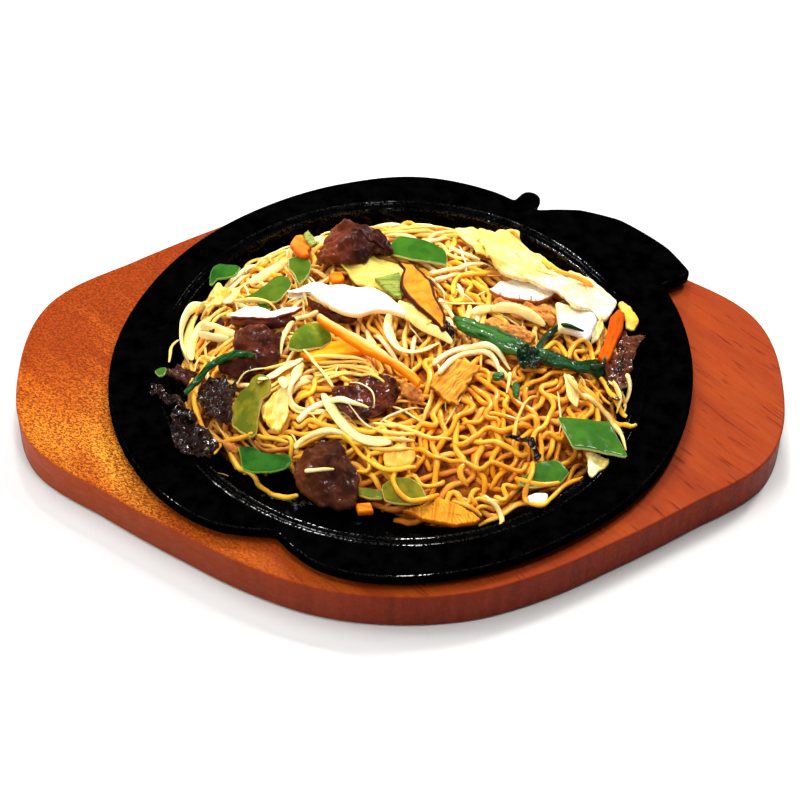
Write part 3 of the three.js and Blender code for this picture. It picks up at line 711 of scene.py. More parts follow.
# Outlines that the camera sees, as points of the frame in pixels: across and down in turn.
frameOutlines = {
    "pepper_left": [213, 266, 219, 263, 236, 264, 241, 267, 236, 275, 228, 277, 217, 278, 213, 284, 209, 284,
        210, 273],
    "pepper_back_left": [288, 258, 298, 255, 308, 259, 312, 264, 309, 274, 300, 284, 297, 281, 294, 273, 288,
        267],
    "pepper_leaf_left": [237, 301, 254, 292, 268, 282, 274, 276, 282, 274, 289, 277, 292, 283, 290, 288, 285,
        293, 282, 298, 275, 302, 265, 301, 252, 301],
    "pepper_dome": [288, 348, 289, 340, 295, 330, 306, 323, 319, 323, 328, 328, 332, 336, 332, 342, 322, 347,
        308, 349, 297, 350],
    "slice_white": [286, 293, 297, 289, 308, 283, 317, 282, 329, 285, 345, 283, 358, 286, 375, 286, 384, 292,
        392, 298, 402, 305, 407, 312, 405, 316, 398, 313, 390, 310, 381, 309, 372, 310, 359, 314, 351, 313,
        341, 310, 331, 306, 322, 301, 315, 296, 309, 291, 301, 289, 293, 292],
    "slice_white_small": [229, 315, 237, 310, 246, 306, 258, 306, 265, 308, 272, 310, 282, 308, 294, 306,
        303, 306, 295, 311, 283, 315, 273, 317, 258, 318, 243, 317],
    "cap_brown": [234, 328, 241, 325, 258, 326, 272, 327, 281, 330, 280, 345, 279, 360, 268, 364, 257, 369,
        246, 376, 236, 375, 226, 369, 218, 366, 222, 358, 236, 352, 233, 342],
    "cap_back": [315, 250, 323, 240, 329, 233, 334, 226, 342, 222, 351, 221, 360, 224, 369, 228, 377, 228,
        384, 234, 390, 241, 393, 245, 390, 249, 384, 250, 378, 247, 371, 250, 366, 256, 354, 258, 345, 260,
        335, 257, 323, 258, 317, 255],
    "carrot_back": [290, 243, 295, 235, 303, 234, 308, 242, 312, 246, 308, 249, 309, 254, 301, 255, 294,
        250],
    "carrot_long": [317, 315, 320, 313, 328, 318, 349, 329, 365, 338, 382, 347, 391, 355, 402, 362, 413, 371,
        421, 379, 418, 384, 411, 377, 398, 368, 388, 361, 375, 354, 365, 350, 345, 338, 322, 322],
    "carrot_wedge": [299, 350, 312, 347, 329, 341, 347, 338, 358, 343, 371, 350, 360, 352, 341, 353, 323,
        359, 315, 360, 307, 356],
    "cabbage_back": [337, 263, 355, 259, 372, 255, 388, 260, 402, 262, 405, 268, 400, 276, 401, 287, 401,
        297, 394, 296, 385, 291, 377, 286, 368, 286, 358, 284, 352, 276, 345, 268],
    "pepper_back": [391, 243, 398, 235, 422, 238, 438, 245, 446, 251, 448, 258, 447, 264, 435, 262, 413, 259,
        397, 255, 388, 252],
    "slice_orange": [397, 260, 413, 262, 423, 271, 432, 281, 438, 298, 445, 314, 447, 328, 442, 330, 434,
        321, 418, 307, 406, 296, 400, 287, 401, 275, 403, 268],
    "cabbage_leaf": [478, 230, 497, 225, 511, 227, 519, 232, 526, 241, 536, 249, 547, 259, 560, 270, 572,
        271, 584, 277, 602, 287, 620, 294, 619, 302, 612, 315, 605, 319, 595, 314, 577, 307, 568, 298, 563,
        292, 547, 287, 530, 280, 517, 278, 503, 273, 495, 265, 487, 255, 482, 241],
    "slice_gills": [488, 288, 500, 281, 518, 279, 530, 281, 543, 286, 558, 291, 553, 296, 543, 300, 532, 301,
        518, 299, 504, 297, 496, 293],
    "cabbage_rib": [555, 301, 572, 304, 595, 313, 598, 319, 592, 330, 587, 338, 578, 332, 567, 329, 559, 328,
        557, 315],
    "carrot_right": [611, 315, 618, 308, 626, 312, 623, 326, 617, 343, 609, 360, 605, 363, 598, 356, 605,
        338],
    "ear_right": [625, 330, 637, 335, 647, 331, 648, 335, 642, 343, 635, 347, 637, 356, 634, 364, 630, 374,
        626, 385, 621, 397, 610, 397, 608, 384, 606, 372, 609, 360, 617, 343],
    "stalk": [453, 314, 461, 315, 473, 318, 487, 322, 503, 328, 519, 337, 534, 345, 547, 350, 547, 357, 535,
        355, 520, 353, 503, 347, 483, 337, 473, 333, 457, 325],
    "stalk_leaf": [533, 346, 547, 349, 565, 356, 577, 363, 595, 367, 600, 362, 603, 357, 607, 362, 606, 374,
        600, 376, 580, 371, 557, 365, 540, 361, 528, 357],
    "ear_sparkle": [197, 385, 205, 380, 219, 375, 230, 377, 238, 382, 234, 392, 232, 403, 233, 417, 224, 421,
        212, 419, 205, 412, 199, 400],
    "pepper_curved": [232, 404, 240, 390, 248, 386, 252, 377, 260, 373, 270, 377, 272, 386, 270, 394, 263,
        397, 260, 408, 258, 420, 257, 433, 251, 437, 240, 431, 232, 425, 233, 414],
    "pepper_front_left": [238, 446, 253, 446, 262, 452, 277, 453, 288, 454, 293, 460, 287, 467, 273, 471,
        253, 472, 243, 469, 241, 460],
    "cabbage_chunk": [260, 404, 266, 401, 272, 398, 277, 388, 282, 378, 289, 374, 294, 382, 290, 394, 288,
        408, 286, 420, 279, 430, 266, 424, 261, 414],
    "cap_front": [293, 470, 297, 457, 308, 446, 322, 438, 338, 439, 346, 448, 350, 460, 358, 471, 358, 488,
        355, 501, 343, 507, 331, 506, 318, 502, 304, 493, 296, 484],
    "ear_center": [331, 390, 336, 385, 350, 383, 357, 377, 370, 373, 388, 373, 398, 378, 400, 387, 396, 398,
        388, 407, 377, 413, 366, 417, 352, 416, 341, 408, 334, 400],
    "ear_left": [176, 404, 170, 414, 169, 430, 176, 447, 184, 454, 197, 454, 210, 458, 216, 452, 221, 446,
        212, 437, 207, 430, 198, 425, 194, 416, 188, 408],
    "ear_tail": [148, 388, 151, 383, 159, 384, 168, 390, 178, 398, 190, 409, 197, 418, 190, 420, 180, 410,
        168, 400, 158, 394, 150, 393],
    "gill_fan": [428, 388, 432, 377, 439, 369, 450, 360, 466, 361, 481, 365, 474, 376, 467, 383, 462, 395,
        460, 406, 453, 402, 446, 398, 438, 393],
    "pepper_right": [557, 416, 585, 418, 610, 421, 614, 429, 628, 455, 625, 457, 600, 451, 585, 448, 573,
        447, 566, 434],
    "pepper_front_right": [535, 462, 547, 460, 560, 460, 570, 472, 560, 483, 546, 485, 530, 487, 518, 483,
        521, 477, 531, 471],
    "white_bit": [527, 495, 535, 491, 549, 493, 546, 500, 538, 503, 530, 502],
    "cabbage_right": [585, 452, 600, 455, 611, 458, 602, 468, 592, 478, 588, 474, 587, 462],
    "slice_front": [402, 509, 413, 507, 425, 502, 435, 496, 447, 499, 460, 504, 473, 512, 481, 520, 473, 524,
        455, 525, 438, 522, 421, 518, 410, 513],
    "pepper_ring": [381, 486, 392, 477, 410, 476, 421, 484, 427, 495, 422, 503, 408, 504, 394, 503, 384,
        500],
    "pepper_strip": [356, 487, 370, 487, 383, 490, 384, 498, 370, 498, 358, 495],
    "carrot_bit": [355, 503, 371, 502, 374, 511, 358, 512],
    "onion_gold": [383, 452, 397, 443, 408, 446, 416, 453, 413, 463, 401, 469, 385, 465],
    "shred_dark": [504, 435, 514, 433, 526, 434, 536, 439, 537, 446, 541, 455, 536, 456, 530, 446, 523, 440,
        513, 438],
    "meat_back": [496, 302, 510, 299, 528, 303, 545, 303, 557, 311, 553, 322, 536, 319, 517, 313, 503, 309],
    "meat_orange": [488, 319, 497, 315, 509, 322, 525, 327, 539, 335, 531, 341, 515, 336, 500, 330, 490,
        325],
    "onion_right": [563, 374, 570, 374, 577, 384, 580, 396, 577, 406, 570, 400, 566, 388],
}

# Small pieces that lie on the heap without a solid of their own: kind, outline, lift and thickness.
extraPieces = {
    "carrotCube": ("carrot", [328, 275, 334, 271, 342, 272, 345, 278, 340, 281, 332, 281], 3, 3),
    "capSideSmall": ("cap", [228, 317, 243, 317, 258, 318, 273, 317, 290, 313, 298, 319, 283, 323, 270, 326,
        255, 325, 238, 323], 1, 2),
    "capSideBig": ("cap", [303, 296, 311, 298, 318, 302, 331, 308, 345, 313, 360, 316, 354, 321, 342, 319,
        329, 314, 317, 308, 308, 303], 2.4, 2.4),
    "greenKnot": ("knot", [516, 353, 521, 345, 530, 344, 540, 347, 541, 357, 536, 365, 526, 366, 519, 362],
        4.5, 3),
    "greenBit": ("green", [492, 373, 498, 370, 505, 371, 505, 376, 498, 379, 492, 378], 1.5, 2),
    "greenShoot": ("green", [512, 382, 517, 379, 520, 384, 520, 393, 517, 397, 513, 392], 1.5, 2),
    "greenTip": ("pepper", [154, 370, 159, 367, 166, 366, 167, 370, 164, 375, 158, 376], -2.2, 1.6),
    "leafCorner": ("pepper", [256, 303, 266, 303, 272, 308, 266, 310, 259, 308], 1, 1.6),
    "celeryBack": ("greenPale", [303, 233, 308, 229, 313, 235, 318, 242, 312, 245, 306, 240], 5, 2),
    "paleLeafRight": ("cabbage", [597, 320, 603, 316, 604, 328, 598, 338, 591, 343, 592, 334], 0.5, 1.6),
    "leafUnder": ("pepper", [540, 260, 548, 260, 557, 268, 556, 273, 547, 268], 1, 1.6),
    "leafGrey": ("greenPale", [374, 277, 384, 274, 400, 271, 403, 284, 402, 298, 392, 294, 382, 286], 3.5,
        1.6),
    "cabbageMid": ("cabbageClear", [398, 300, 410, 302, 423, 311, 433, 322, 428, 326, 414, 320, 403, 316,
        397, 309], 2.5, 1.6),
    "yellowMass": ("cabbageClear",
                   [203, 302, 208, 292, 217, 284, 228, 286, 233, 292, 226, 299, 216, 303, 208, 309],
                   2, 3),
    "palePiece": ("cabbage", [221, 297, 230, 290, 241, 287, 239, 295, 231, 300, 224, 302], 3, 2),
    "capBit": ("cap", [205, 329, 211, 318, 218, 313, 226, 319, 220, 326, 213, 332], 1, 2),
    "earBit": ("ear", [443, 318, 450, 319, 455, 328, 456, 338, 450, 337, 444, 331], 2, 2),
    "orangeBit": ("carrot", [222, 352, 230, 350, 237, 353, 232, 359, 224, 358], 1.5, 2),
    "pinkBit": ("meat", [473, 240, 484, 238, 490, 248, 486, 256, 476, 250], 1, 2),
    "yellowBend": ("cabbageGold", [617, 304, 623, 300, 630, 306, 637, 314, 639, 322, 634, 329, 626, 328, 625,
        317], -2.2, 2.4),
    "cabbageBackEdge": ("cabbageClear", [455, 228, 470, 226, 482, 232, 487, 243, 488, 256, 478, 251, 466,
        240], 2, 1.6),
}

# Finish of each kind: edge is the rounding, thin the thickness that shows, corner how far corners are
# rounded, outline the unevenness of the outline, wrinkles the lengths and heights of waves on both faces,
# relief those on the upper face alone, ridges pitch and depth across the piece, rings and around how finely
# it is divided.
kindLooks = {
    "pepper": dict(edge=0.7, thin=1.8, corner=0.8, outline=0.006, wrinkles=[(16, 0.2)], relief=[(7, 0.06)]),
    "cap": dict(edge=1.2, thin=3.4, corner=1.2, outline=0.02, wrinkles=[(15, 0.4)],
                relief=[(7, 0.4), (3, 0.12)]),
    "slice": dict(edge=0.8, thin=2.4, corner=0.7, outline=0.012, wrinkles=[(12, 0.3)], relief=[(4, 0.1)]),
    "ear": dict(edge=0.6, thin=1.6, corner=0.8, outline=0.06, wrinkles=[(9, 1.1), (4.5, 0.5)],
                relief=[(3.2, 0.4), (1.5, 0.16)], rings=38, around=170),
    "carrot": dict(edge=0.7, thin=3.4, corner=0.5, outline=0.01, wrinkles=[(20, 0.15)], relief=[(3, 0.05)]),
    "cabbage": dict(edge=0.6, thin=1.6, corner=0.8, outline=0.02, wrinkles=[(13, 0.8), (6, 0.3)], relief=[],
                    rings=26, around=140),
    "green": dict(edge=0.9, thin=2.4, corner=0.7, outline=0.02, wrinkles=[(9, 0.3)], relief=[(2.2, 0.15)]),
    "meat": dict(edge=1.2, thin=2.4, corner=1, outline=0.1, wrinkles=[(6, 0.7)], relief=[(2.2, 0.35)],
                 rings=16, around=80),
}
plainLook = dict(rings=14, around=120, ridges=None)
pieceLooks = {
    "gill_fan": dict(thin=1.7, outline=0.05, ridges=(1.7, 0.3), relief=[(5, 0.5)], rings=30, around=150),
    "slice_gills": dict(ridges=(1.3, 0.16), rings=24, around=220),
    "slice_front": dict(ridges=(1.5, 0.2), rings=24, around=200),
    "slice_white": dict(thin=3.2, around=200),
    "cap_back": dict(thin=5, outline=0.04, relief=[(11, 1.5), (5, 0.8), (2.4, 0.25)], rings=30, around=170),
    "cap_brown": dict(thin=4, outline=0.04, relief=[(10, 1.5), (4.5, 0.5), (2.2, 0.15)], rings=30,
                      around=170),
    "cap_front": dict(thin=4, outline=0.05, relief=[(11, 1.2), (4.5, 0.55), (2, 0.15)], rings=30, around=170),
    "cabbage_rib": dict(edge=1.2, thin=4.5, wrinkles=[(12, 0.3)]),
    "cabbage_leaf": dict(thin=2.2, corner=2, wrinkles=[(18, 1.6), (7, 0.7), (3.5, 0.2)], rings=40,
                         around=260),
    "white_bit": dict(edge=1.2, thin=3, wrinkles=[(8, 0.3)]),
    "cabbage_chunk": dict(thin=2.4, wrinkles=[(9, 1.3), (4, 0.5)]),
    "yellowMass": dict(thin=2.4, wrinkles=[(7, 1.3), (3.5, 0.5)]),
    "ear_center": dict(thin=3, wrinkles=[(10, 0.5), (4, 0.25)], relief=[(1.8, 0.12)], rings=26, around=140),
    "ear_sparkle": dict(wrinkles=[(7, 0.9), (3, 0.4)]),
    "stalk": dict(edge=1.6, thin=4, relief=[(2.5, 0.15)], around=180),
    "greenKnot": dict(wrinkles=[(4, 1.0), (1.8, 0.4)], rings=24, around=110),
}


# Where a point in a topping's own axes lies.
def placeOf(sizes, along, across):
    turn = math.radians(sizes["turn"])
    cos, sin = math.cos(turn), math.sin(turn)
    return sizes["x"] + along * cos - across * sin, sizes["y"] + along * sin + across * cos


# Height of what a topping lies on: the heap, and for a stiff piece the plane that rests on it.
def bedHeight(sizes, along, across):
    def heapAt(a, b):
        return heapTop(*placeOf(sizes, a, b), heapSet["shoulder"])

    a = np.array([0, 1, -1, 0, 0]) * sizes["length"] / 2
    b = np.array([0, 0, 0, 1, -1]) * sizes["width"] / 2
    at = heapAt(a, b)
    slopeAlong, slopeAcross = (at[1] - at[2]) / sizes["length"], (at[3] - at[4]) / sizes["width"]
    plane = np.max(at - slopeAlong * a - slopeAcross * b) + slopeAlong * along + slopeAcross * across
    return sizes["stiff"] * plane + (1 - sizes["stiff"]) * heapAt(along, across)


# Height of a topping's upper face without its crown.
def upperFace(sizes, along, across):
    u = np.clip(along / (sizes["length"] / 2), -1.2, 1.2)
    v = np.clip(across / (sizes["width"] / 2), -1.2, 1.2)
    form = (sizes["arch"] * (1 - u * u) + sizes["cup"] * (1 - v * v)
            + sizes["ripple"] * np.sin(4 * u + 2 * v))
    rest = heapSet["restGap"] + abs(sizes["ripple"]) + sizes["lift"] + sizes["thick"]
    return bedHeight(sizes, along, across) + rest + sizes["bank"] * across + form


# Where the sight lines through an outline's frame points meet a topping's upper face, in the topping's own
# axes.
def seenOutline(sizes, frame):
    across, down = np.array(frame, float).reshape(-1, 2).T
    turn = math.radians(sizes["turn"])
    firstHeight, rounds, pull = 45.0, 60, 0.3
    z = np.full(len(across), firstHeight)
    for _ in range(rounds):
        x, y = sightPoint(across, down, z)
        east, north = x - sizes["x"], y - sizes["y"]
        own = np.stack([east * math.cos(turn) + north * math.sin(turn),
                        north * math.cos(turn) - east * math.sin(turn)], -1)
        z += pull * (upperFace(sizes, *own.T) - z)
    return own


# A superellipse with the sizes' taper, skew and bend.
def plainOutline(sizes):
    theta = np.linspace(0, 2 * np.pi, 60, endpoint=False)
    cos, sin = np.cos(theta), np.sin(theta)
    size = (np.abs(cos) ** sizes["square"] + np.abs(sin) ** sizes["square"]) ** (-1 / sizes["square"])
    u, v = size * cos, size * sin
    along = u * sizes["length"] / 2 + sizes["skew"] * v
    across = v * sizes["width"] / 2 * (1 + sizes["taper"] * u) + sizes["bend"] * (1 - u * u)
    return np.stack([along, across], -1)


# An anticlockwise loop through the points with evenly spaced points and its corners rounded by a running
# mean.
def roundLoop(points, count, corner):
    east, north = points.T
    if np.sum(east * np.roll(north, -1) - north * np.roll(east, -1)) < 0:
        points = points[::-1]
    fine = evenLoop(points, 4 * count)
    step = np.linalg.norm(fine[1] - fine[0])
    cells = max(int(corner / step), 1)
    for _ in range(3):
        padded = np.vstack([fine[-cells:], fine, fine[:cells]])
        total = np.vstack([[[0, 0]], np.cumsum(padded, axis=0)])
        fine = (total[2 * cells + 1:] - total[:-2 * cells - 1]) / (2 * cells + 1)
    return evenLoop(fine, count)


# A closed slab: rings grow from a middle line of the upper face to its outline, go round the edge as a half
# circle and shrink again on the lower face. Returns the points and their values.
def slabPoints(sizes, look, seed, frame=None):
    around, rings, edge = look["around"], look["rings"], look["edge"]
    outline = roundLoop(seenOutline(sizes, frame) if frame else plainOutline(sizes), around, look["corner"])
    low, high = outline.min(0), outline.max(0)
    half, middle = (high - low) / 2, (high + low) / 2
    theta = np.linspace(0, 2 * np.pi, around, endpoint=False)
    circle = np.cos(theta), np.sin(theta)
    uneven = waves(seed, 1.1, 7)(*circle) + 0.5 * waves(seed + 1, 0.4, 7)(*circle)
    outline = outline + loopNormals(outline) * (look["outline"] * half.max() * uneven)[:, None]
    normal = loopNormals(outline)
    line = np.polyfit(outline[:, 0], outline[:, 1], 2 if half[0] > 1.6 * half[1] else 0)
    spread = max(half[0] - half[1], 0) * 0.85
    along = np.clip(outline[:, 0], middle[0] - spread, middle[0] + spread)
    spine = np.stack([along, np.polyval(line, along)], -1)
    inner = outline - normal * edge - spine
    shares = np.linspace(0, 1, rings + 1)[1:] ** 0.8
    bends = np.linspace(np.pi / 2, -np.pi / 2, 7)[1:-1]
    levels = [spine + inner * s for s in shares]
    levels += [outline - normal * edge * (1 - np.cos(a)) for a in bends]
    levels += [spine + inner * s for s in shares[::-1]]
    tops = [1.0] * rings + list(np.sin(bends)) + [-1.0] * rings
    rims = list(shares ** 6 * 0.3) + list(np.cos(bends)) + list(shares[::-1] ** 6 * 0.3)
    insides = list(1 - shares ** 2) + [0.0] * len(bends) + list(1 - shares[::-1] ** 2)
    heart = [[middle[0], np.polyval(line, middle[0])]]
    flat = np.vstack([heart, *levels, heart])
    columns = (1, tops, -1), (0, rims, 0), (1, insides, 1)
    top, rim, inside = [np.concatenate([[first], np.repeat(column, around), [last]])
                        for first, column, last in columns]
    along, across = flat.T
    u, v = ((flat - middle) / half).T
    x, y = placeOf(sizes, along, across)
    upper = (1 + top) / 2
    z = upperFace(sizes, along, across) - look["thin"] * (1 - upper) + sizes["crown"] * inside * upper
    for k, (length, height) in enumerate(look["wrinkles"]):
        z = z + height * waves(seed + 20 + k, length)(along, across)
    for k, (length, height) in enumerate(look["relief"]):
        z = z + height * waves(seed + 40 + k, length)(along, across) * upper
    if look["ridges"]:
        pitch, depth = look["ridges"]
        lean = along + 0.35 * across + 0.6 * waves(seed + 60, 9)(along, across)
        z = z + depth * np.sin(2 * np.pi * lean / pitch) * upper * np.clip(1.3 - v * v, 0, 1)
    points = np.stack([x, y, z], -1)
    return points, {"along": along, "across": across, "u": u, "v": v, "rim": rim, "top": top}


# Topping materials

def pepperMaterial(name, skin, deep, flesh):
    def build(tree):
        place = objectPlace(tree)
        colour = patchColour(tree, place, 130, skin, deep)
        cut = mapValue(tree, readValue(tree, "rim"), 0.45, 0.8)
        under = mapValue(tree, readValue(tree, "top"), 0.0, -0.5)
        colour = mixColours(tree, doMath(tree, "MAXIMUM", cut, under), colour, flesh)
        height = noise(tree, place, 420, 2.0)
        wet = mapValue(tree, readValue(tree, "rim"), 0.15, 0.5, 0.02, 0.7)
        return {"Base Color": colour, "Roughness": 0.5, "Coat Weight": wet, "Height": (height, 0.18, 0.0004)}

    return newMaterial(name, build, specular=0.05, coatRough=0.08, inner=0.08, innerScale=0.002)


def capMaterial(name, first, second, edge):
    def build(tree):
        place = objectPlace(tree)
        colour = patchColour(tree, place, 110, first, second, 0.38, 0.62)
        pale = times(tree, mapValue(tree, readValue(tree, "u"), 0.1, -0.9), edge[3])
        colour = mixColours(tree, pale, colour, edge[:3] + (1,))
        grease = placeGroup(tree, greaseDrops, {"Place": place, "Scale": 340, "Drops": 0.35})
        height = plus(tree, grease["Height"], noise(tree, place, 180, 3.0))
        wet = mapValue(tree, noise(tree, place, 260, 2.0), 0.5, 0.62, 0.0, 0.55)
        return {"Base Color": colour, "Roughness": 0.5, "Coat Weight": wet, "Height": (height, 0.45, 0.0006)}

    return newMaterial(name, build, specular=0.06, coatRough=0.06, coatIor=1.7)


# Pale flesh with a band of brown skin on the side v < 0 and faint fibres; ribs turns on stripes across it,
# fringe keeps them to that side, and outlined draws the skin's colour round the whole edge.
def sliceMaterial(name, flesh, shade, skin, band, ribs=0.0, fringe=0.0, outlined=False):
    def build(tree):
        place = objectPlace(tree)
        colour = patchColour(tree, place, 150, flesh, shade, 0.45, 0.75)
        stripes = noise(tree, ownPlace(tree, 0.8, 0.06), 1.0, 2.0)
        stripes = times(tree, mapValue(tree, stripes, 0.5, 0.62), ribs)
        if fringe:
            low = mapValue(tree, readValue(tree, "v"), 0.1 - fringe, -fringe)
            stripes = times(tree, stripes, low)
        colour = mixColours(tree, stripes, colour, skin)
        wave = times(tree, doMath(tree, "SUBTRACT", noise(tree, ownPlace(tree, 0.1, 0.1), 1.0), 0.5), 0.4)
        side = mapValue(tree, plus(tree, readValue(tree, "v"), wave), band, band - 0.12)
        cut = times(tree, mapValue(tree, readValue(tree, "rim"), 0.3, 0.6),
                    mapValue(tree, readValue(tree, "v"), 0.3, 0.0))
        brown = doMath(tree, "MAXIMUM", side, cut)
        if outlined:
            brown = doMath(tree, "MAXIMUM", brown, mapValue(tree, readValue(tree, "rim"), 0.09, 0.17))
        colour = mixColours(tree, brown, colour, skin)
        height = noise(tree, place, 300, 3.0)
        return {"Base Color": colour, "Roughness": mapValue(tree, brown, 0, 1, 0.45, 0.3),
                "Height": (height, 0.3, 0.0004)}

    return newMaterial(name, build, specular=0.08, inner=0.15, innerScale=0.003)


# Fine rough skin with drops of oil; gloss is how much its wet patches shine.
def earMaterial(name, first, second, bump=0.9, gloss=1.0):
    def build(tree):
        place = objectPlace(tree)
        colour = patchColour(tree, place, 170, first, second, 0.4, 0.65)
        grease = placeGroup(tree, greaseDrops, {"Place": place, "Scale": 520, "Drops": 0.5})
        fine = noise(tree, place, 480, 3.0, 0.6)
        height = plus(tree, times(tree, fine, 1.2), grease["Height"])
        wet = mapValue(tree, noise(tree, place, 420, 2.0), 0.45, 0.55, 0.0, gloss)
        return {"Base Color": colour, "Roughness": mapValue(tree, fine, 0.35, 0.65, 0.5, 0.35),
                "Coat Weight": wet,
                "Height": (height, bump, 0.0014)}

    return newMaterial(name, build, specular=0.04, coatRough=0.05, coatIor=2.0)


# Orange fibres; pale is how far the upper side turns to cream, partly a painted highlight along that edge and
# partly a pale sprout lying along it.
def carrotMaterial(name, light, deep, pale=0.0):
    def build(tree):
        place = objectPlace(tree)
        fibres = noise(tree, ownPlace(tree, 0.05, 0.7), 1.0, 3.0)
        colour = mixColours(tree, mapValue(tree, fibres, 0.35, 0.68), light, deep)
        colour = mixColours(tree, mapValue(tree, readValue(tree, "rim"), 0.4, 1.0, 0.0, 0.5), colour, deep)
        # painted highlight along the upper side, together with the cream of a sprout lying there
        if pale:
            upper = mapValue(tree, readValue(tree, "v"), -0.1, 0.5, 0.0, pale)
            colour = mixColours(tree, upper, colour, tint(255, 214, 150))
        height = plus(tree, fibres, noise(tree, place, 380, 2.0))
        return {"Base Color": colour, "Roughness": 0.4, "Height": (height, 0.25, 0.0004)}

    return newMaterial(name, build, specular=0.06, inner=0.12, innerScale=0.003, innerReach=(1.0, 0.5, 0.2))


# Leaf that goes from one colour to another along it, with branching veins.
def cabbageMaterial(name, first, second, vein):
    def build(tree):
        place = objectPlace(tree)
        share = plus(tree, mapValue(tree, readValue(tree, "u"), -0.8, 0.8),
                     times(tree, doMath(tree, "SUBTRACT", noise(tree, place, 90), 0.5), 1.6))
        colour = mixColours(tree, mapValue(tree, share, 0.2, 0.9), first, second)
        lines = noise(tree, ownPlace(tree, 0.05, 0.45), 1.0, 2.0, 0.5, 0.6)
        veins = mapValue(tree, doMath(tree, "ABSOLUTE", doMath(tree, "SUBTRACT", lines, 0.5)), 0.05, 0.0)
        colour = mixColours(tree, times(tree, veins, 0.6), colour, vein)
        height = plus(tree, times(tree, veins, 0.8), noise(tree, place, 200, 3.0))
        return {"Base Color": colour, "Roughness": 0.3, "Height": (height, 0.4, 0.0006)}

    return newMaterial(name, build, specular=0.2, inner=0.3, innerScale=0.004)


def greenMaterial(name, first, second):
    def build(tree):
        fibres = noise(tree, ownPlace(tree, 0.06, 0.9), 1.0, 3.0)
        colour = mixColours(tree, mapValue(tree, fibres, 0.4, 0.62), first, second)
        fine = noise(tree, objectPlace(tree), 450, 3.0)
        height = plus(tree, fibres, times(tree, fine, 0.6))
        wet = mapValue(tree, noise(tree, ownPlace(tree, 0.12, 0.7), 1.0, 2.0), 0.5, 0.6, 0.0, 1.0)
        return {"Base Color": colour, "Roughness": 0.45, "Coat Weight": wet, "Height": (height, 0.7, 0.0006)}

    return newMaterial(name, build, specular=0.15, coatRough=0.07)


def meatMaterial():
    def build(tree):
        place = objectPlace(tree)
        fibres = noise(tree, ownPlace(tree, 0.12, 0.8), 1.0, 4.0, 0.6, 0.4)
        colour = mixColours(tree, mapValue(tree, fibres, 0.38, 0.62), tint(222, 150, 70), tint(164, 92, 38))
        patches = mapValue(tree, noise(tree, place, 120), 0.5, 0.65)
        colour = mixColours(tree, times(tree, patches, 0.6), colour, tint(140, 62, 30))
        return {"Base Color": colour, "Roughness": 0.4, "Height": (fibres, 0.7, 0.0008)}

    return newMaterial("friedMeat", build, specular=0.12)


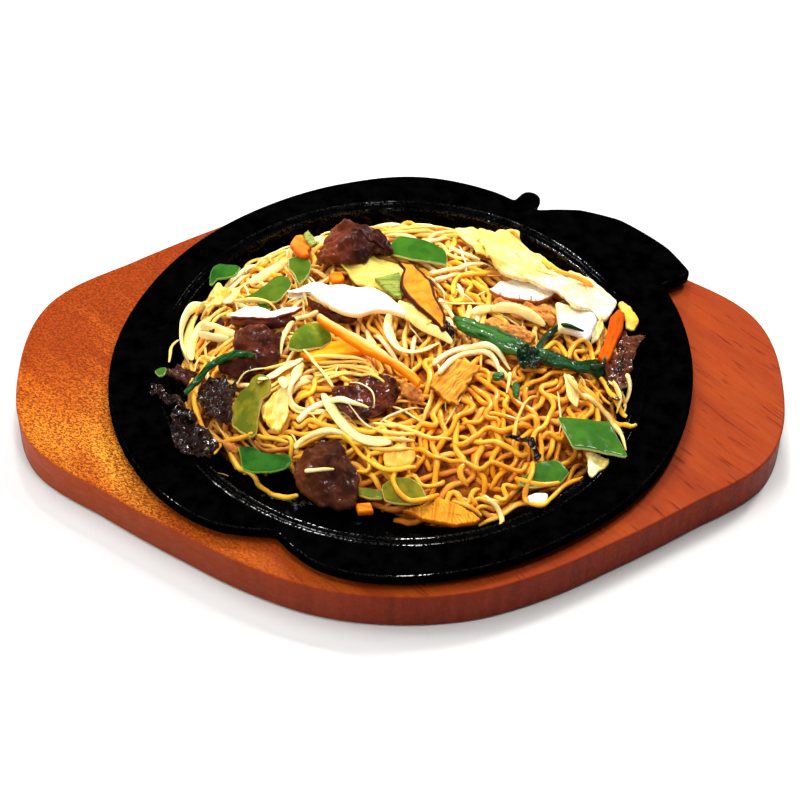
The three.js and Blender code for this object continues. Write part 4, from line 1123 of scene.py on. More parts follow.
skinGreen = pepperMaterial("pepperSkin", tint(52, 98, 18), tint(38, 82, 14), tint(176, 190, 110))
skinBright = pepperMaterial("pepperBright", tint(40, 90, 22), tint(20, 62, 12), tint(120, 178, 56))
skinPale = pepperMaterial("pepperPale", tint(75, 97, 20), tint(57, 84, 16), tint(190, 196, 110))
skinYellow = pepperMaterial("pepperYellow", tint(130, 118, 28), tint(84, 92, 20), tint(206, 186, 84))
white, cream, brown = tint(255, 253, 244), tint(253, 238, 208), tint(120, 42, 22)
toppingMaterials = {
    "pepper": skinGreen,
    "pepper_left": skinBright,
    "pepper_front_left": skinBright,
    "pepper_back_left": skinPale,
    "pepper_leaf_left": skinPale,
    "pepper_dome": pepperMaterial("pepperDome", tint(112, 122, 26), tint(78, 100, 20), tint(190, 196, 110)),
    "pepper_curved": skinYellow,
    "pepper_ring": skinYellow,
    "pepper_strip": skinYellow,
    "cap": capMaterial("capBrown", tint(78, 32, 18), tint(44, 16, 11), (*tint(140, 66, 28)[:3], 0.2)),
    "cap_back": capMaterial("capBack", tint(66, 28, 19), tint(34, 14, 13), (*tint(150, 66, 24)[:3], 0.5)),
    "cap_front": capMaterial("capFront", tint(68, 32, 18), tint(38, 16, 11), (*tint(130, 66, 28)[:3], 0.3)),
    "ear_center": earMaterial("earBrown", tint(98, 42, 26), tint(42, 15, 10), bump=0.7, gloss=0.45),
    "slice": sliceMaterial("sliceWhite", white, white, tint(246, 222, 168), -1.4),
    "slice_white_small": sliceMaterial("sliceSmall", white, cream, brown, -1.4),
    "slice_orange": sliceMaterial("sliceAmber", tint(206, 136, 32), tint(154, 78, 12), tint(66, 22, 13),
                                  -1.2, 0.12, outlined=True),
    "slice_gills": sliceMaterial("sliceGills", tint(255, 253, 238), tint(255, 246, 216), tint(170, 92, 50),
                                 -1.3, 0.9, 0.55),
    "slice_front": sliceMaterial("sliceFront", tint(230, 158, 42), tint(214, 128, 24), tint(172, 82, 14),
                                 -0.8, 0.5),
    "gill_fan": sliceMaterial("gillFan", tint(218, 152, 54), tint(194, 120, 32), tint(158, 86, 22), -1.1,
                              0.35),
    "ear": earMaterial("earBlack", tint(34, 15, 10), tint(8, 3, 3), bump=1.0),
    "ear_sparkle": earMaterial("earSparkle", tint(50, 24, 15), tint(18, 8, 6), bump=1.0),
    "ear_right": earMaterial("earRight", tint(108, 52, 28), tint(50, 22, 14), bump=0.8),
    "carrot": carrotMaterial("carrotCut", tint(246, 136, 20), tint(214, 84, 6)),
    "carrot_long": carrotMaterial("carrotLong", tint(250, 142, 20), tint(234, 106, 8), 0.6),
    "carrot_wedge": carrotMaterial("carrotWedge", tint(255, 172, 34), tint(244, 134, 12)),
    "carrot_right": carrotMaterial("carrotRight", tint(198, 86, 3), tint(168, 60, 2)),
    "cabbage": cabbageMaterial("cabbageLeaf", tint(252, 236, 170), tint(244, 208, 96), tint(255, 248, 214)),
    "cabbage_leaf": cabbageMaterial("cabbageWhite", tint(234, 198, 102), tint(248, 233, 198),
                                    tint(222, 180, 80)),
    "cabbage_back": cabbageMaterial("cabbageGreen", tint(232, 200, 90), tint(206, 186, 80),
                                    tint(246, 226, 150)),
    "cabbage_rib": cabbageMaterial("cabbageRib", tint(255, 236, 160), tint(255, 254, 248),
                                   tint(255, 248, 220)),
    "white_bit": cabbageMaterial("cabbageBit", tint(255, 252, 246), tint(255, 250, 240), tint(250, 246, 236)),
    "cabbage_chunk": cabbageMaterial("cabbageChunk", tint(240, 188, 56), tint(252, 230, 140),
                                     tint(255, 244, 190)),
    "onion_gold": cabbageMaterial("onionGold", tint(240, 190, 80), tint(228, 160, 50), tint(250, 220, 130)),
    "cabbageClear": cabbageMaterial("cabbageClear", tint(246, 220, 120), tint(232, 176, 62),
                                    tint(255, 242, 180)),
    "cabbageGold": cabbageMaterial("cabbageGold", tint(240, 188, 66), tint(226, 158, 40),
                                   tint(250, 222, 128)),
    "green": greenMaterial("greenStalk", tint(52, 102, 32), tint(12, 50, 17)),
    "strip_green": greenMaterial("greenStrip", tint(32, 88, 34), tint(9, 44, 17)),
    "greenPale": greenMaterial("greenPale", tint(150, 156, 62), tint(92, 112, 36)),
    "stalk_leaf": greenMaterial("greenLeaf", tint(18, 66, 26), tint(7, 30, 12)),
    "knot": earMaterial("greenKnot", tint(16, 50, 22), tint(4, 18, 8), gloss=0.8),
    "meat": meatMaterial(),
    "meat_edge": capMaterial("meatDark", tint(60, 28, 22), tint(30, 14, 13), (*tint(90, 44, 24)[:3], 0.2)),
}

kinds = [(pepperSizes, "pepper"), (capSizes, "cap"), (sliceSizes, "slice"), (earSizes, "ear"),
         (carrotSizes, "carrot"), (cabbageSizes, "cabbage"), (greenSizes, "green"), (meatSizes, "meat")]


def camelName(node):
    first, *rest = node.split("_")
    return first + "".join(word.capitalize() for word in rest)


# Points, faces and values of a piece, in its kind's finish and its own.
def dressPiece(node, kind, sizes, seed, frame):
    look = {**plainLook, **kindLooks[kind], **pieceLooks.get(node, {})}
    points, values = slabPoints(sizes, look, seed, frame)
    quads, tris = ringFaces((len(points) - 2) // look["around"], look["around"])
    values["tone"] = np.random.default_rng(seed).uniform()
    return points, quads, tris, values


def dressToppings():
    made = []
    for table, kind in kinds:
        for node, own in table.items():
            seed = 100 * (len(made) + 1)
            shape = dressPiece(node, kind, {**plainSizes, **own}, seed, frameOutlines.get(node))
            material = toppingMaterials.get(node, toppingMaterials[kind])
            newPiece(camelName(node), *shape, material, kind, node)
            made.append(shape[0])
    return made


finishOf = {"knot": "green", "greenPale": "green", "cabbageClear": "cabbage", "cabbageGold": "cabbage"}
extraLevel = 46.0  # height at which an extra piece's middle and size are read
extraLeast = 4  # shortest side


# The extra pieces take their middle and size from their outline.
def dressExtras():
    made = []
    for name, (kind, frame, lift, thick) in extraPieces.items():
        x, y = sightPoint(*np.array(frame, float).reshape(-1, 2).T, extraLevel)
        sizes = {**plainSizes, "x": x.mean(), "y": y.mean(), "turn": 0, "lift": lift, "thick": thick,
                 "length": max(np.ptp(x), extraLeast), "width": max(np.ptp(y), extraLeast)}
        finish = finishOf.get(kind, kind)
        shape = dressPiece(name, finish, sizes, 9000 + len(made), frame)
        newPiece(name, *shape, toppingMaterials[kind], finish, "noodle_heap")
        made.append(shape[0])
    return made


toppings = dressToppings() + dressExtras()
print("toppings made:", len(toppings))


# Height map: heights over the plate on a square grid, raised as each strand is laid, so that strands rest on
# what is there.

mapSet = {"half": (126, 118), "cell": 0.75}


class HeightMap:
    def __init__(self):
        self.cell = mapSet["cell"]
        self.low = -np.array(mapSet["half"], float)
        self.shape = tuple((2 * np.array(mapSet["half"]) / self.cell).astype(int) + 1)
        east = self.low[0] + np.arange(self.shape[0]) * self.cell
        north = self.low[1] + np.arange(self.shape[1]) * self.cell
        self.x, self.y = np.meshgrid(east, north, indexing="ij")
        self.height = np.full(self.shape, -1e3)

    def index(self, x, y):
        i = np.clip(np.rint((x - self.low[0]) / self.cell).astype(int), 0, self.shape[0] - 1)
        j = np.clip(np.rint((y - self.low[1]) / self.cell).astype(int), 0, self.shape[1] - 1)
        return i, j

    def at(self, x, y):
        return self.height[self.index(x, y)]

    # Height that the middle of a tube needs over each point to clear all that is under it.
    def rest(self, x, y, radius):
        best = np.full(np.shape(x), -1e3)
        for share in (0, 0.45, 0.85):
            for turn in np.linspace(0, 2 * np.pi, 8 if share else 1, endpoint=False):
                r = share * radius
                under = self.at(x + r * np.cos(turn), y + r * np.sin(turn))
                best = np.maximum(best, under + np.sqrt(radius ** 2 - r ** 2))
        return best

    def stamp(self, x, y, z, radius):
        reach = int(math.ceil(np.max(radius) / self.cell))
        step = np.arange(-reach, reach + 1)
        a, b = [grid.ravel() for grid in np.meshgrid(step, step)]
        i, j = self.index(x, y)
        i, j = i[:, None] + a, j[:, None] + b
        inside = (i >= 0) & (j >= 0) & (i < self.shape[0]) & (j < self.shape[1])
        away = (a * a + b * b) * self.cell ** 2
        lift = np.broadcast_to(radius, np.shape(x))[:, None] ** 2 - away
        good = inside & (lift > 0)
        top = z[:, None] + np.sqrt(np.maximum(lift, 0))
        np.maximum.at(self.height, (i[good], j[good]), top[good])

    def cover(self, points):
        i, j = self.index(points[:, 0], points[:, 1])
        np.maximum.at(self.height, (i, j), points[:, 2])


# Mean over a square of cells, done as two passes of a running mean along each side.
def blur(grid, cells):
    weight = np.ones(2 * cells + 1) / (2 * cells + 1)

    def mean(row):
        return np.convolve(np.pad(row, cells, "edge"), weight, "valid")

    for axis in (0, 1, 0, 1):
        grid = np.apply_along_axis(mean, axis, grid)
    return grid


def plateHeight(x, y):
    distance = np.hypot(x - plateCentre[0], y - plateCentre[1])
    sets = plateSet
    wall = sets["floorHeight"] + (distance - sets["floorRadius"]) * 4
    return np.clip(wall, sets["floorHeight"], sets["rimTop"])


ground = HeightMap()
target = heapTop(ground.x, ground.y)
away = np.hypot(ground.x - plateCentre[0], ground.y - plateCentre[1])
around = np.degrees(np.arctan2(ground.y - plateCentre[1], ground.x - plateCentre[0]))
insideHeap = away < looseReach(around)
ground.height = plateHeight(ground.x, ground.y)
ground.height = np.where(insideHeap, np.maximum(target - heapSet["coreDepth"], ground.height), ground.height)

ceiling = np.full(ground.shape, 1e3)  # undersides of the toppings
covers = HeightMap()
for points in toppings:
    i, j = ground.index(points[:, 0], points[:, 1])
    np.minimum.at(ceiling, (i, j), points[:, 2])
    covers.cover(points)
for _ in range(2):  # fills the cells that no point fell in
    for axis, step in ((0, 1), (0, -1), (1, 1), (1, -1)):
        ceiling = np.minimum(ceiling, np.roll(ceiling, step, axis))


# Strands

strandKinds = {
    # radius; curl (turn of the heading either way), wave (length of one curl) and drift (random turn) of its
    # path; stiffness; shortest and longest length; flat, the section's height over its width, and twist of
    # it per mm; ends, the share of the radius left at each end, and taper, the run over which it is lost
    "golden": dict(radius=1.25, curl=1.3, wave=20, drift=0.08, stiff=8, length=(50, 130), flat=0.88,
                   twist=0.03, ends=(0.8, 0.8), taper=5, sides=7),
    "yellow": dict(radius=1.15, curl=0.5, wave=34, drift=0.06, stiff=12, length=(45, 120), flat=0.66,
                   twist=0.05, ends=(0.6, 0.6), taper=10, sides=7),
    "sprout": dict(radius=1.6, curl=0.16, wave=50, drift=0.04, stiff=40, length=(32, 60), flat=0.86,
                   twist=0.02, ends=(0.85, 0.3), taper=22, sides=9),
    "thread": dict(radius=0.55, curl=0.3, wave=30, drift=0.08, stiff=30, length=(16, 45), flat=0.8,
                   twist=0.05, ends=(0.7, 0.3), taper=12, sides=5),
    "shred": dict(radius=3.2, curl=0.15, wave=40, drift=0.05, stiff=16, length=(16, 34), flat=0.34,
                  twist=0.012, ends=(0.7, 0.6), taper=6, sides=10),
    "under": dict(radius=1.45, curl=0.8, wave=28, drift=0.1, stiff=5, length=(40, 110), flat=0.9, twist=0.02,
                  ends=(0.8, 0.8), taper=5, sides=6),
}
strandStep = 1.5
floorTop = plateSet["floorHeight"]
endDive = 2.6  # how far a strand's end sinks among the others


def soften(z, passes):
    for _ in range(passes):
        padded = np.pad(z, 1, "edge")
        z = (padded[:-2] + 2 * z + padded[2:]) / 4
    return z


# Height that the middle line of a strand needs, and the line raised until it clears what is under it; the
# more passes, the stiffer it is and the wider the gaps that it bridges.
def drape(x, y, radius, passes):
    need = ground.rest(x, y, radius)
    z = need.copy()
    for _ in range(passes):
        z = np.maximum(need, soften(z, 1))
    return need, soften(z, 2)


wanderSet = {
    "wave": (0.75, 1.35),  # spread of a strand's wave and of its curl, as shares of its kind's
    "curl": (0.6, 1.2),
    "bend": 0.012,  # steady turn, per mm
    "edge": 0.82,  # share of the heap's reach from which a strand turns along the edge
    "edgeTurn": 1.75,  # how far off the outward way it turns
    "edgePull": 0.35,
}


# Many wandering paths at once: the heading swings by curl along each wave, more and less by turns, and
# drifts; near the heap's edge it turns to run along the edge.
def wander(draw, kind, x, y, count):
    sets, free = strandKinds[kind], wanderSet
    steps = int(sets["length"][1] / strandStep)
    base = draw.uniform(0, 2 * np.pi, count)
    phase = draw.uniform(0, 2 * np.pi, (3, count))
    wave = sets["wave"] * draw.uniform(*free["wave"], count)
    curl = sets["curl"] * draw.uniform(*free["curl"], count)
    bend = draw.normal(0, free["bend"], count) * strandStep
    path = np.zeros((steps, count, 2))
    for k in range(steps):
        path[k] = np.stack([x, y], -1)
        run = 2 * np.pi * k * strandStep / wave
        swing = 0.75 * np.sin(run + phase[0]) + 0.45 * np.sin(run * 1.73 + phase[1])
        heading = base + curl * swing * (0.65 + 0.35 * np.sin(run * 0.31 + phase[2]))
        x = x + strandStep * np.cos(heading)
        y = y + strandStep * np.sin(heading)
        outward = np.arctan2(y - plateCentre[1], x - plateCentre[0])
        off = np.mod(base - outward + np.pi, 2 * np.pi) - np.pi
        close = np.clip((shareAt(x, y) - free["edge"]) * 6, 0, 1)
        lack = free["edgeTurn"] - np.abs(off)
        turnBack = np.where(np.abs(off) < free["edgeTurn"], np.sign(off) * lack, 0)
        base = base + bend + draw.normal(0, sets["drift"], count) + free["edgePull"] * close * turnBack
    return path


zoneSet = {
    # centre x, y and reach of each zone, and what lies there
    "goldenAt": [(30, -52, 44), (72, -30, 26), (10, -70, 30)],
    "sproutAt": [(25, 22, 34), (-45, 10, 26), (-30, -35, 26), (60, 40, 24), (0, 60, 30)],
}


def zoneShare(zones, x, y):
    share = 0
    for cx, cy, reach in zones:
        share = np.maximum(share, np.exp(-((x - cx) ** 2 + (y - cy) ** 2) / reach ** 2))
    return share


# First and last place of the longest run of true values.
def longestRun(good):
    edges = np.flatnonzero(np.diff(np.concatenate([[0], good.astype(int), [0]])))
    if not len(edges):
        return 0, 0
    runs = edges.reshape(-1, 2)
    return runs[np.argmax(runs[:, 1] - runs[:, 0])]


laySet = {
    "batch": 24,
    "size": (0.85, 1.15),  # spread of the radius
    "underTopping": 0.2,
    "overFloor": 2.2,  # radii that a strand may always stand over the plate's floor
    "sink": 1.15,  # radii that it may be pressed into what it lies on
    "over": 0.6,  # how far it may stand over its highest place
    "shortest": 0.6,  # share of the kind's shortest length that has to be left
    "diveRun": 6,  # length over which an end sinks
}


# Lays strands of one kind where the heap is still lowest, until the given number lie or the heap is full. A
# strand is pressed down to the heap's own height and under the toppings, but only so far into what it lies
# on.
def layStrands(draw, kind, wanted, allowance, weightOf, rounds):
    sets, rule = strandKinds[kind], laySet
    laid = []
    radius, batch = sets["radius"], rule["batch"]
    for _ in range(rounds):
        room = np.clip(target + allowance - ground.height - radius, 0, None) * insideHeap * weightOf
        room = room * (ground.height < ceiling - 2 * radius)
        total = room.sum()
        if total <= 0 or len(laid) >= wanted:
            break
        pick = draw.choice(room.size, batch, p=(room / total).ravel())
        paths = wander(draw, kind, ground.x.ravel()[pick], ground.y.ravel()[pick], batch)
        size = draw.uniform(*rule["size"], batch)
        reach = draw.uniform(*sets["length"], batch)
        for k in range(batch):
            steps = int(reach[k] / strandStep)
            x, y = paths[:steps, k, 0], paths[:steps, k, 1]
            r = radius * size[k]
            need, z = drape(x, y, r, sets["stiff"])
            place = ground.index(x, y)
            allowed = np.maximum(target[place] + allowance, floorTop + rule["overFloor"] * r)
            highest = np.minimum(ceiling[place] - rule["underTopping"], allowed) - r
            z = soften(np.minimum(z, highest), 2)
            fits = (need - z < rule["sink"] * r) & insideHeap[place] & (z < highest + rule["over"])
            start, stop = longestRun(fits)
            if (stop - start) * strandStep < sets["length"][0] * rule["shortest"]:
                continue
            path = np.stack([x, y, z], -1)[start:stop]
            ground.stamp(path[:, 0], path[:, 1], path[:, 2], r)
            run = np.arange(len(path)) * strandStep
            near = np.clip(1 - np.minimum(run, run[-1] - run) / rule["diveRun"], 0, 1)
            path[:, 2] -= endDive * near * near
            laid.append((path, r))
    return laid


# A strand round a path: rings stand square to it, flatter than wide and slowly twisting, a little thicker and
# thinner along it and narrower towards its ends, which are rounded caps.
def strandRings(path, radius, sets, draw):
    sides = sets["sides"]
    run = np.concatenate([[0], np.cumsum(np.linalg.norm(np.diff(path, axis=0), axis=1))])
    phase = draw.uniform(0, 2 * np.pi, 3)
    size = radius * (1 + 0.09 * np.sin(run / 4.5 + phase[0]) + 0.06 * np.sin(run / 1.9 + phase[1]))
    for left, away in zip(sets["ends"], (run, run[-1] - run)):
        near = np.clip(away / sets["taper"], 0, 1)
        size = size * (left + (1 - left) * near * (2 - near))
    turn = phase[2] + draw.choice([-1, 1]) * sets["twist"] * run
    tangent = np.gradient(path, axis=0)
    tangent /= np.linalg.norm(tangent, axis=1, keepdims=True) + 1e-9
    bend = np.array([(0.95, 0.3), (0.6, 0.8)])  # how far out and how wide the two cap rings are
    lead = path[0] - tangent[0] * size[0] * bend[:, :1]
    tail = path[-1] + tangent[-1] * size[-1] * bend[::-1, :1]
    first = path[0] - tangent[0] * size[0]
    last = path[-1] + tangent[-1] * size[-1]
    middle = np.vstack([lead, path, tail])
    size = np.concatenate([size[0] * bend[:, 1], size, size[-1] * bend[::-1, 1]])[:, None, None]
    turn = np.concatenate([turn[[0, 0]], turn, turn[[-1, -1]]])[:, None]
    tangent = np.vstack([tangent[[0, 0]], tangent, tangent[[-1, -1]]])
    level = np.stack([-tangent[:, 1], tangent[:, 0], np.zeros(len(tangent))], -1)
    level /= np.linalg.norm(level, axis=1, keepdims=True) + 1e-9
    above = np.cross(tangent, level)
    wide = np.cos(turn) * level + np.sin(turn) * above
    thin = np.cos(turn) * above - np.sin(turn) * level
    angle = np.linspace(0, 2 * np.pi, sides, endpoint=False)
    cos, sin = np.cos(angle)[None, :, None], np.sin(angle)[None, :, None]
    ring = cos * wide[:, None] + sets["flat"] * sin * thin[:, None]
    points = np.vstack([[first], (middle[:, None] + size * ring).reshape(-1, 3), [last]])
    run = np.concatenate([[run[0]] * 2, run, [run[-1]] * 2])
    along = np.concatenate([[0], np.repeat(run, sides), [run[-1]]])
    across = np.concatenate([[0], np.tile(np.cos(angle) * radius, len(middle)), [0]])
    end = np.concatenate([[1], np.repeat(np.clip(1 - (run[-1] - run) / 9, 0, 1), sides), [1]])
    return points, {"along": along, "across": across, "end": end}, len(middle)


# the darkening of strands with depth in the heap is painted shade, made in strandMaterial
deepest = 6.5  # depth in the heap at which a strand is darkest


# All the strands of one material as one piece; of the paths' points, each that thin steps to is kept.
def newStrands(name, strands, kind, material, slot, draw, thin=1):
    sets = strandKinds[kind]
    columns = {}
    allPoints, allQuads, allTris = [], [], []
    count = 0
    for path, radius in strands:
        points, values, rings = strandRings(path[::thin], radius, sets, draw)
        quads, tris = ringFaces(rings, sets["sides"])
        allPoints.append(points)
        allQuads.append(quads + count)
        allTris.append(tris + count)
        values["tone"] = np.full(len(points), draw.uniform())
        middle = path[len(path) // 2]
        values["zone"] = np.full(len(points), zoneShare(zoneSet["goldenAt"], *middle[:2]))
        for key, column in values.items():
            columns.setdefault(key, []).append(column)
        count += len(points)
    points = np.vstack(allPoints)
    values = {key: np.concatenate(column) for key, column in columns.items()}
    # depth of each point under the heap's smoothed top, which sets its painted shade
    level = deepLevel[ground.index(points[:, 0], points[:, 1])]
    values["deep"] = np.clip((level - points[:, 2]) / deepest, 0, 1)
    quads, tris = np.vstack(allQuads), np.vstack(allTris)
    print(name, len(strands), "strands,", 2 * len(quads) + len(tris), "triangles")
    newPiece(name, points, quads, tris, values, material, slot, "noodle_heap")


# Strand colour: a light and a full colour by strand, slow noise and zone, with sauce stains, turning with
# depth in the heap to the sauce colour and then the shadow colour, which is painted shade of the strands
# lower down.
def strandMaterial(name, light, full, sauceAndDepthShade, shadow, inner, tip=None):
    paleSauceAndDepthShade, paleShadow = tint(240, 178, 78), tint(184, 102, 38)

    def build(tree):
        place = objectPlace(tree)
        tone = readValue(tree, "tone")
        slow = noise(tree, ownPlace(tree, 0.05, 0.02), 1.0, 2.0)
        zone = mapValue(tree, readValue(tree, "zone"), 0.2, 0.8, 0.0, 0.35)
        share = plus(tree, times(tree, tone, 0.6), times(tree, slow, 0.5))
        colour = mixColours(tree, mapValue(tree, plus(tree, share, zone), 0.2, 1.1), light, full)
        stain = mapValue(tree, noise(tree, place, 60, 3.0), 0.5, 0.7)
        colour = mixColours(tree, times(tree, stain, 0.4), colour, sauceAndDepthShade)
        if tip:
            colour = mixColours(tree, times(tree, readValue(tree, "end"), 0.7), colour, tip)
        # painted shade: deeper in the heap the colour turns to the sauce colour and then to the shadow colour
        deep, fried = readValue(tree, "deep"), mapValue(tree, readValue(tree, "zone"), 0.1, 0.6)
        depthShade = mixColours(tree, fried, paleSauceAndDepthShade, sauceAndDepthShade)
        colour = mixColours(tree, mapValue(tree, deep, 0.15, 0.7, 0, 0.7), colour, depthShade)
        depthShade = mixColours(tree, fried, paleShadow, shadow)
        colour = mixColours(tree, mapValue(tree, deep, 0.7, 1.2, 0, 0.6), colour, depthShade)
        fine = noise(tree, place, 420, 2.0)
        height = plus(tree, fine, noise(tree, ownPlace(tree, 0.12, 0.8), 1.0, 2.0))
        oil = mapValue(tree, noise(tree, ownPlace(tree, 0.25, 0.4), 1.0, 2.0), 0.42, 0.6, 0.0, 0.9)
        return {"Base Color": colour, "Roughness": mapValue(tree, fine, 0.3, 0.7, 0.3, 0.45),
                "Coat Weight": oil,
                "Height": (height, 0.3, 0.0005)}

    return newMaterial(name, build, specular=0.25, coatRough=0.12, inner=inner, innerScale=0.0025,
                       innerReach=(1.0, 0.55, 0.2))


# Strands laid along given lines: points of the frame that each strand passes, as in the outlines; its height
# comes from what it lies on.

handStrands = {
    "golden": [
        [195, 365, 190, 385, 195, 405, 200, 425, 215, 440, 222, 444, 240, 441, 255, 437],
        [222, 446, 213, 459],
        [226, 446, 238, 468, 245, 475, 258, 482, 256, 486, 270, 494, 284, 500, 302, 494],
        [298, 450, 310, 442, 335, 433, 345, 437, 360, 455, 378, 470, 395, 474, 420, 470],
        [255, 433, 270, 440, 292, 444],
        [398, 470, 391, 480, 395, 492, 405, 503, 418, 508, 432, 500, 440, 495],
        [470, 497, 477, 509],
        [532, 460, 533, 475, 526, 490, 524, 500, 532, 508, 545, 508, 550, 500, 565, 487, 590, 470],
        [515, 478, 525, 487, 565, 487],
        [568, 362, 572, 345, 585, 340, 592, 352, 594, 368],
        [540, 352, 552, 341, 562, 345, 568, 362],
        [396, 233, 402, 225, 413, 223, 424, 230],
        [454, 300, 452, 285, 460, 277, 475, 276, 490, 270],
        [450, 500, 460, 506, 476, 512, 482, 520],
        [580, 385, 600, 408, 625, 428, 637, 425],
        [508, 231, 516, 235, 522, 244, 533, 252, 543, 262, 555, 271],
        [547, 263, 558, 274, 570, 276, 582, 281, 595, 289, 605, 293],
        [598, 374, 607, 385, 611, 399, 619, 411, 630, 418],
    ],
    "yellow": [
        [248, 276, 243, 268, 248, 260, 260, 256, 270, 258, 275, 268],
        [183, 342, 172, 345, 168, 350, 173, 358, 166, 368],
        [230, 300, 262, 302, 280, 310],
        [197, 332, 215, 332, 233, 328],
        [300, 362, 255, 388],
        [297, 378, 289, 395, 291, 410, 305, 416, 325, 414],
        [380, 420, 405, 430, 430, 440, 455, 440],
        [606, 381, 616, 390, 624, 400, 627, 410, 621, 419],
        [213, 300, 203, 306, 195, 317, 190, 329, 189, 343],
    ],
    "sprout": [
        [320, 314, 305, 318, 290, 325, 282, 340, 281, 362],
        [303, 290, 305, 300, 309, 314],
        [510, 372, 509, 386, 505, 400],
        [485, 500, 497, 508, 505, 520, 497, 528],
        [580, 392, 600, 410, 615, 425, 628, 455],
        [625, 374, 631, 387, 628, 400, 621, 412],
        [296, 425, 320, 405, 345, 402, 372, 412],
        [296, 452, 298, 445, 310, 437, 330, 432, 347, 436, 358, 444, 372, 448],
        [301, 375, 292, 384, 288, 395, 292, 407, 301, 413, 317, 412],
        [302, 474, 320, 472, 338, 470],
        [447, 249, 465, 256, 484, 262],
        [428, 276, 445, 273, 466, 267, 488, 262],
        [433, 283, 452, 279, 470, 272],
    ],
    "ribbon": [
        [210, 299, 196, 306, 187, 316, 182, 328, 181, 342, 184, 356, 191, 371],
        [211, 318, 203, 328, 195, 340, 190, 353, 192, 367],
        [210, 303, 200, 311, 192, 323, 188, 337, 188, 352, 192, 365],
        [611, 384, 618, 396, 621, 409, 615, 420],
        [198, 332, 210, 336, 224, 334, 238, 331],
        [196, 340, 214, 343, 232, 338],
        [303, 361, 290, 369, 275, 377, 256, 388],
        [304, 364, 297, 376, 290, 387],
        [284, 374, 283, 385, 285, 397],
        [390, 314, 387, 328, 391, 343, 399, 354, 413, 357, 427, 352, 441, 345],
        [407, 319, 420, 326, 433, 333, 446, 341, 452, 347],
        [486, 313, 503, 311, 520, 314, 536, 322, 545, 331],
        [470, 318, 482, 312, 498, 308],
        [303, 352, 313, 364, 325, 378, 334, 390],
        [322, 396, 333, 415, 348, 434, 370, 446, 392, 444],
        [248, 288, 262, 280, 276, 272, 287, 262],
    ],
    "thread": [
        [213, 462, 222, 470, 233, 478],
        [230, 392, 240, 378, 252, 370, 285, 366],
        [345, 382, 365, 386, 375, 395, 373, 416],
        [345, 400, 365, 425, 400, 440],
    ],
    "darkGreen": [
        [536, 350, 546, 336, 560, 329, 574, 330, 586, 338],
        [586, 366, 600, 372, 606, 366, 604, 356],
    ],
    "brownStrip": [
        [255, 440, 258, 450, 272, 453, 292, 451],
    ],
}
# The first and the last strand of each bundle, and how many there are in all.
handFans = {
    "yellow": [
        ([306, 362, 330, 358, 352, 359, 372, 366], [314, 384, 342, 378, 368, 377, 384, 384], 6),
        ([262, 372, 282, 366, 300, 362], [268, 396, 284, 384, 303, 372], 4),
        ([196, 318, 204, 305, 220, 297], [206, 342, 216, 322, 232, 308], 4),
        ([372, 420, 395, 426, 420, 430], [366, 448, 392, 450, 418, 448], 4),
        ([562, 374, 574, 388, 590, 404], [584, 378, 597, 392, 612, 410], 4),
    ],
    "sprout": [
        ([430, 370, 450, 354, 482, 347, 502, 358, 510, 374],
         [436, 376, 455, 360, 480, 354, 497, 362, 503, 380], 2),
    ],
}
handKinds = {
    # radius, passes that calm a strand's height, and stiffness; laid in this order
    "ribbon": (2.3, 20, 20),
    "sprout": (1.5, 30, 40),
    "yellow": (1.0, 8, 14),
    "golden": (1.2, 4, 12),
    "thread": (0.5, 10, 20),
    "darkGreen": (1.9, 4, 30),
    "brownStrip": (1.6, 4, 12),
}
handSet = {
    "scale": 2.2,  # pixels to a millimetre
    "step": 1.3,
    "fewest": 8,  # points of a strand
    "shake": 2.2,  # how far the points of a bundle's strands stray, in pixels
    "rise": 0.8,  # most that they may stand over the smoothed surface
    "cast": (60, 14, -0.25),  # first, last and step of the heights that are tried
    "meet": 1.0,  # height over the surface that counts as meeting it
}


# Smooth curve through points, as the mean-slope cubic, sampled evenly.
def smoothPath(points, count):
    points = np.asarray(points, float)
    slope = np.gradient(points, axis=0)
    at = np.linspace(0, len(points) - 1, count)
    k = np.clip(at.astype(int), 0, len(points) - 2)
    t = (at - k)[:, None]
    return (points[k] * (1 + 2 * t) * (1 - t) ** 2 + slope[k] * t * (1 - t) ** 2
            + points[k + 1] * t * t * (3 - 2 * t) - slope[k + 1] * t * t * (1 - t))


# First height down each sight line at which it meets the smoothed surface.
def castPath(pixels, surface):
    levels = np.arange(*handSet["cast"])
    x, y = sightPoint(pixels[:, :1], pixels[:, 1:], levels[None, :])
    meets = surface[ground.index(x, y)] + handSet["meet"] >= levels
    meets[:, -1] = True
    first = np.argmax(meets, axis=1)
    row = np.arange(len(pixels))
    return x[row, first], y[row, first]


def layByHand(kind, surface):
    radius, calm, stiff = handKinds[kind]
    sets, laid = handSet, []
    lines = [np.array(line) for line in handStrands[kind]]
    shake = np.random.default_rng(31)
    for first, last, count in handFans.get(kind, []):
        for share in np.linspace(0, 1, count):
            between = np.array(first) * (1 - share) + np.array(last) * share
            lines.append(between + shake.uniform(-sets["shake"], sets["shake"], between.shape))
    for line in lines:
        pixels = line.reshape(-1, 2)
        length = np.linalg.norm(np.diff(pixels, axis=0), axis=1).sum() / sets["scale"]
        count = max(int(length / sets["step"]), sets["fewest"])
        x, y = castPath(smoothPath(pixels, count), surface)
        weight = np.array([1, 2, 3, 2, 1]) / 9
        for _ in range(5):
            x = np.convolve(np.pad(x, 2, "edge"), weight, "valid")
            y = np.convolve(np.pad(y, 2, "edge"), weight, "valid")
        z = soften(drape(x, y, radius, stiff)[1], calm)
        z = np.minimum(z, soften(surface[ground.index(x, y)], 6) + radius + sets["rise"])
        ground.stamp(x, y, z, radius)
        laid.append((np.stack([x, y, z], -1), radius))
    return laid


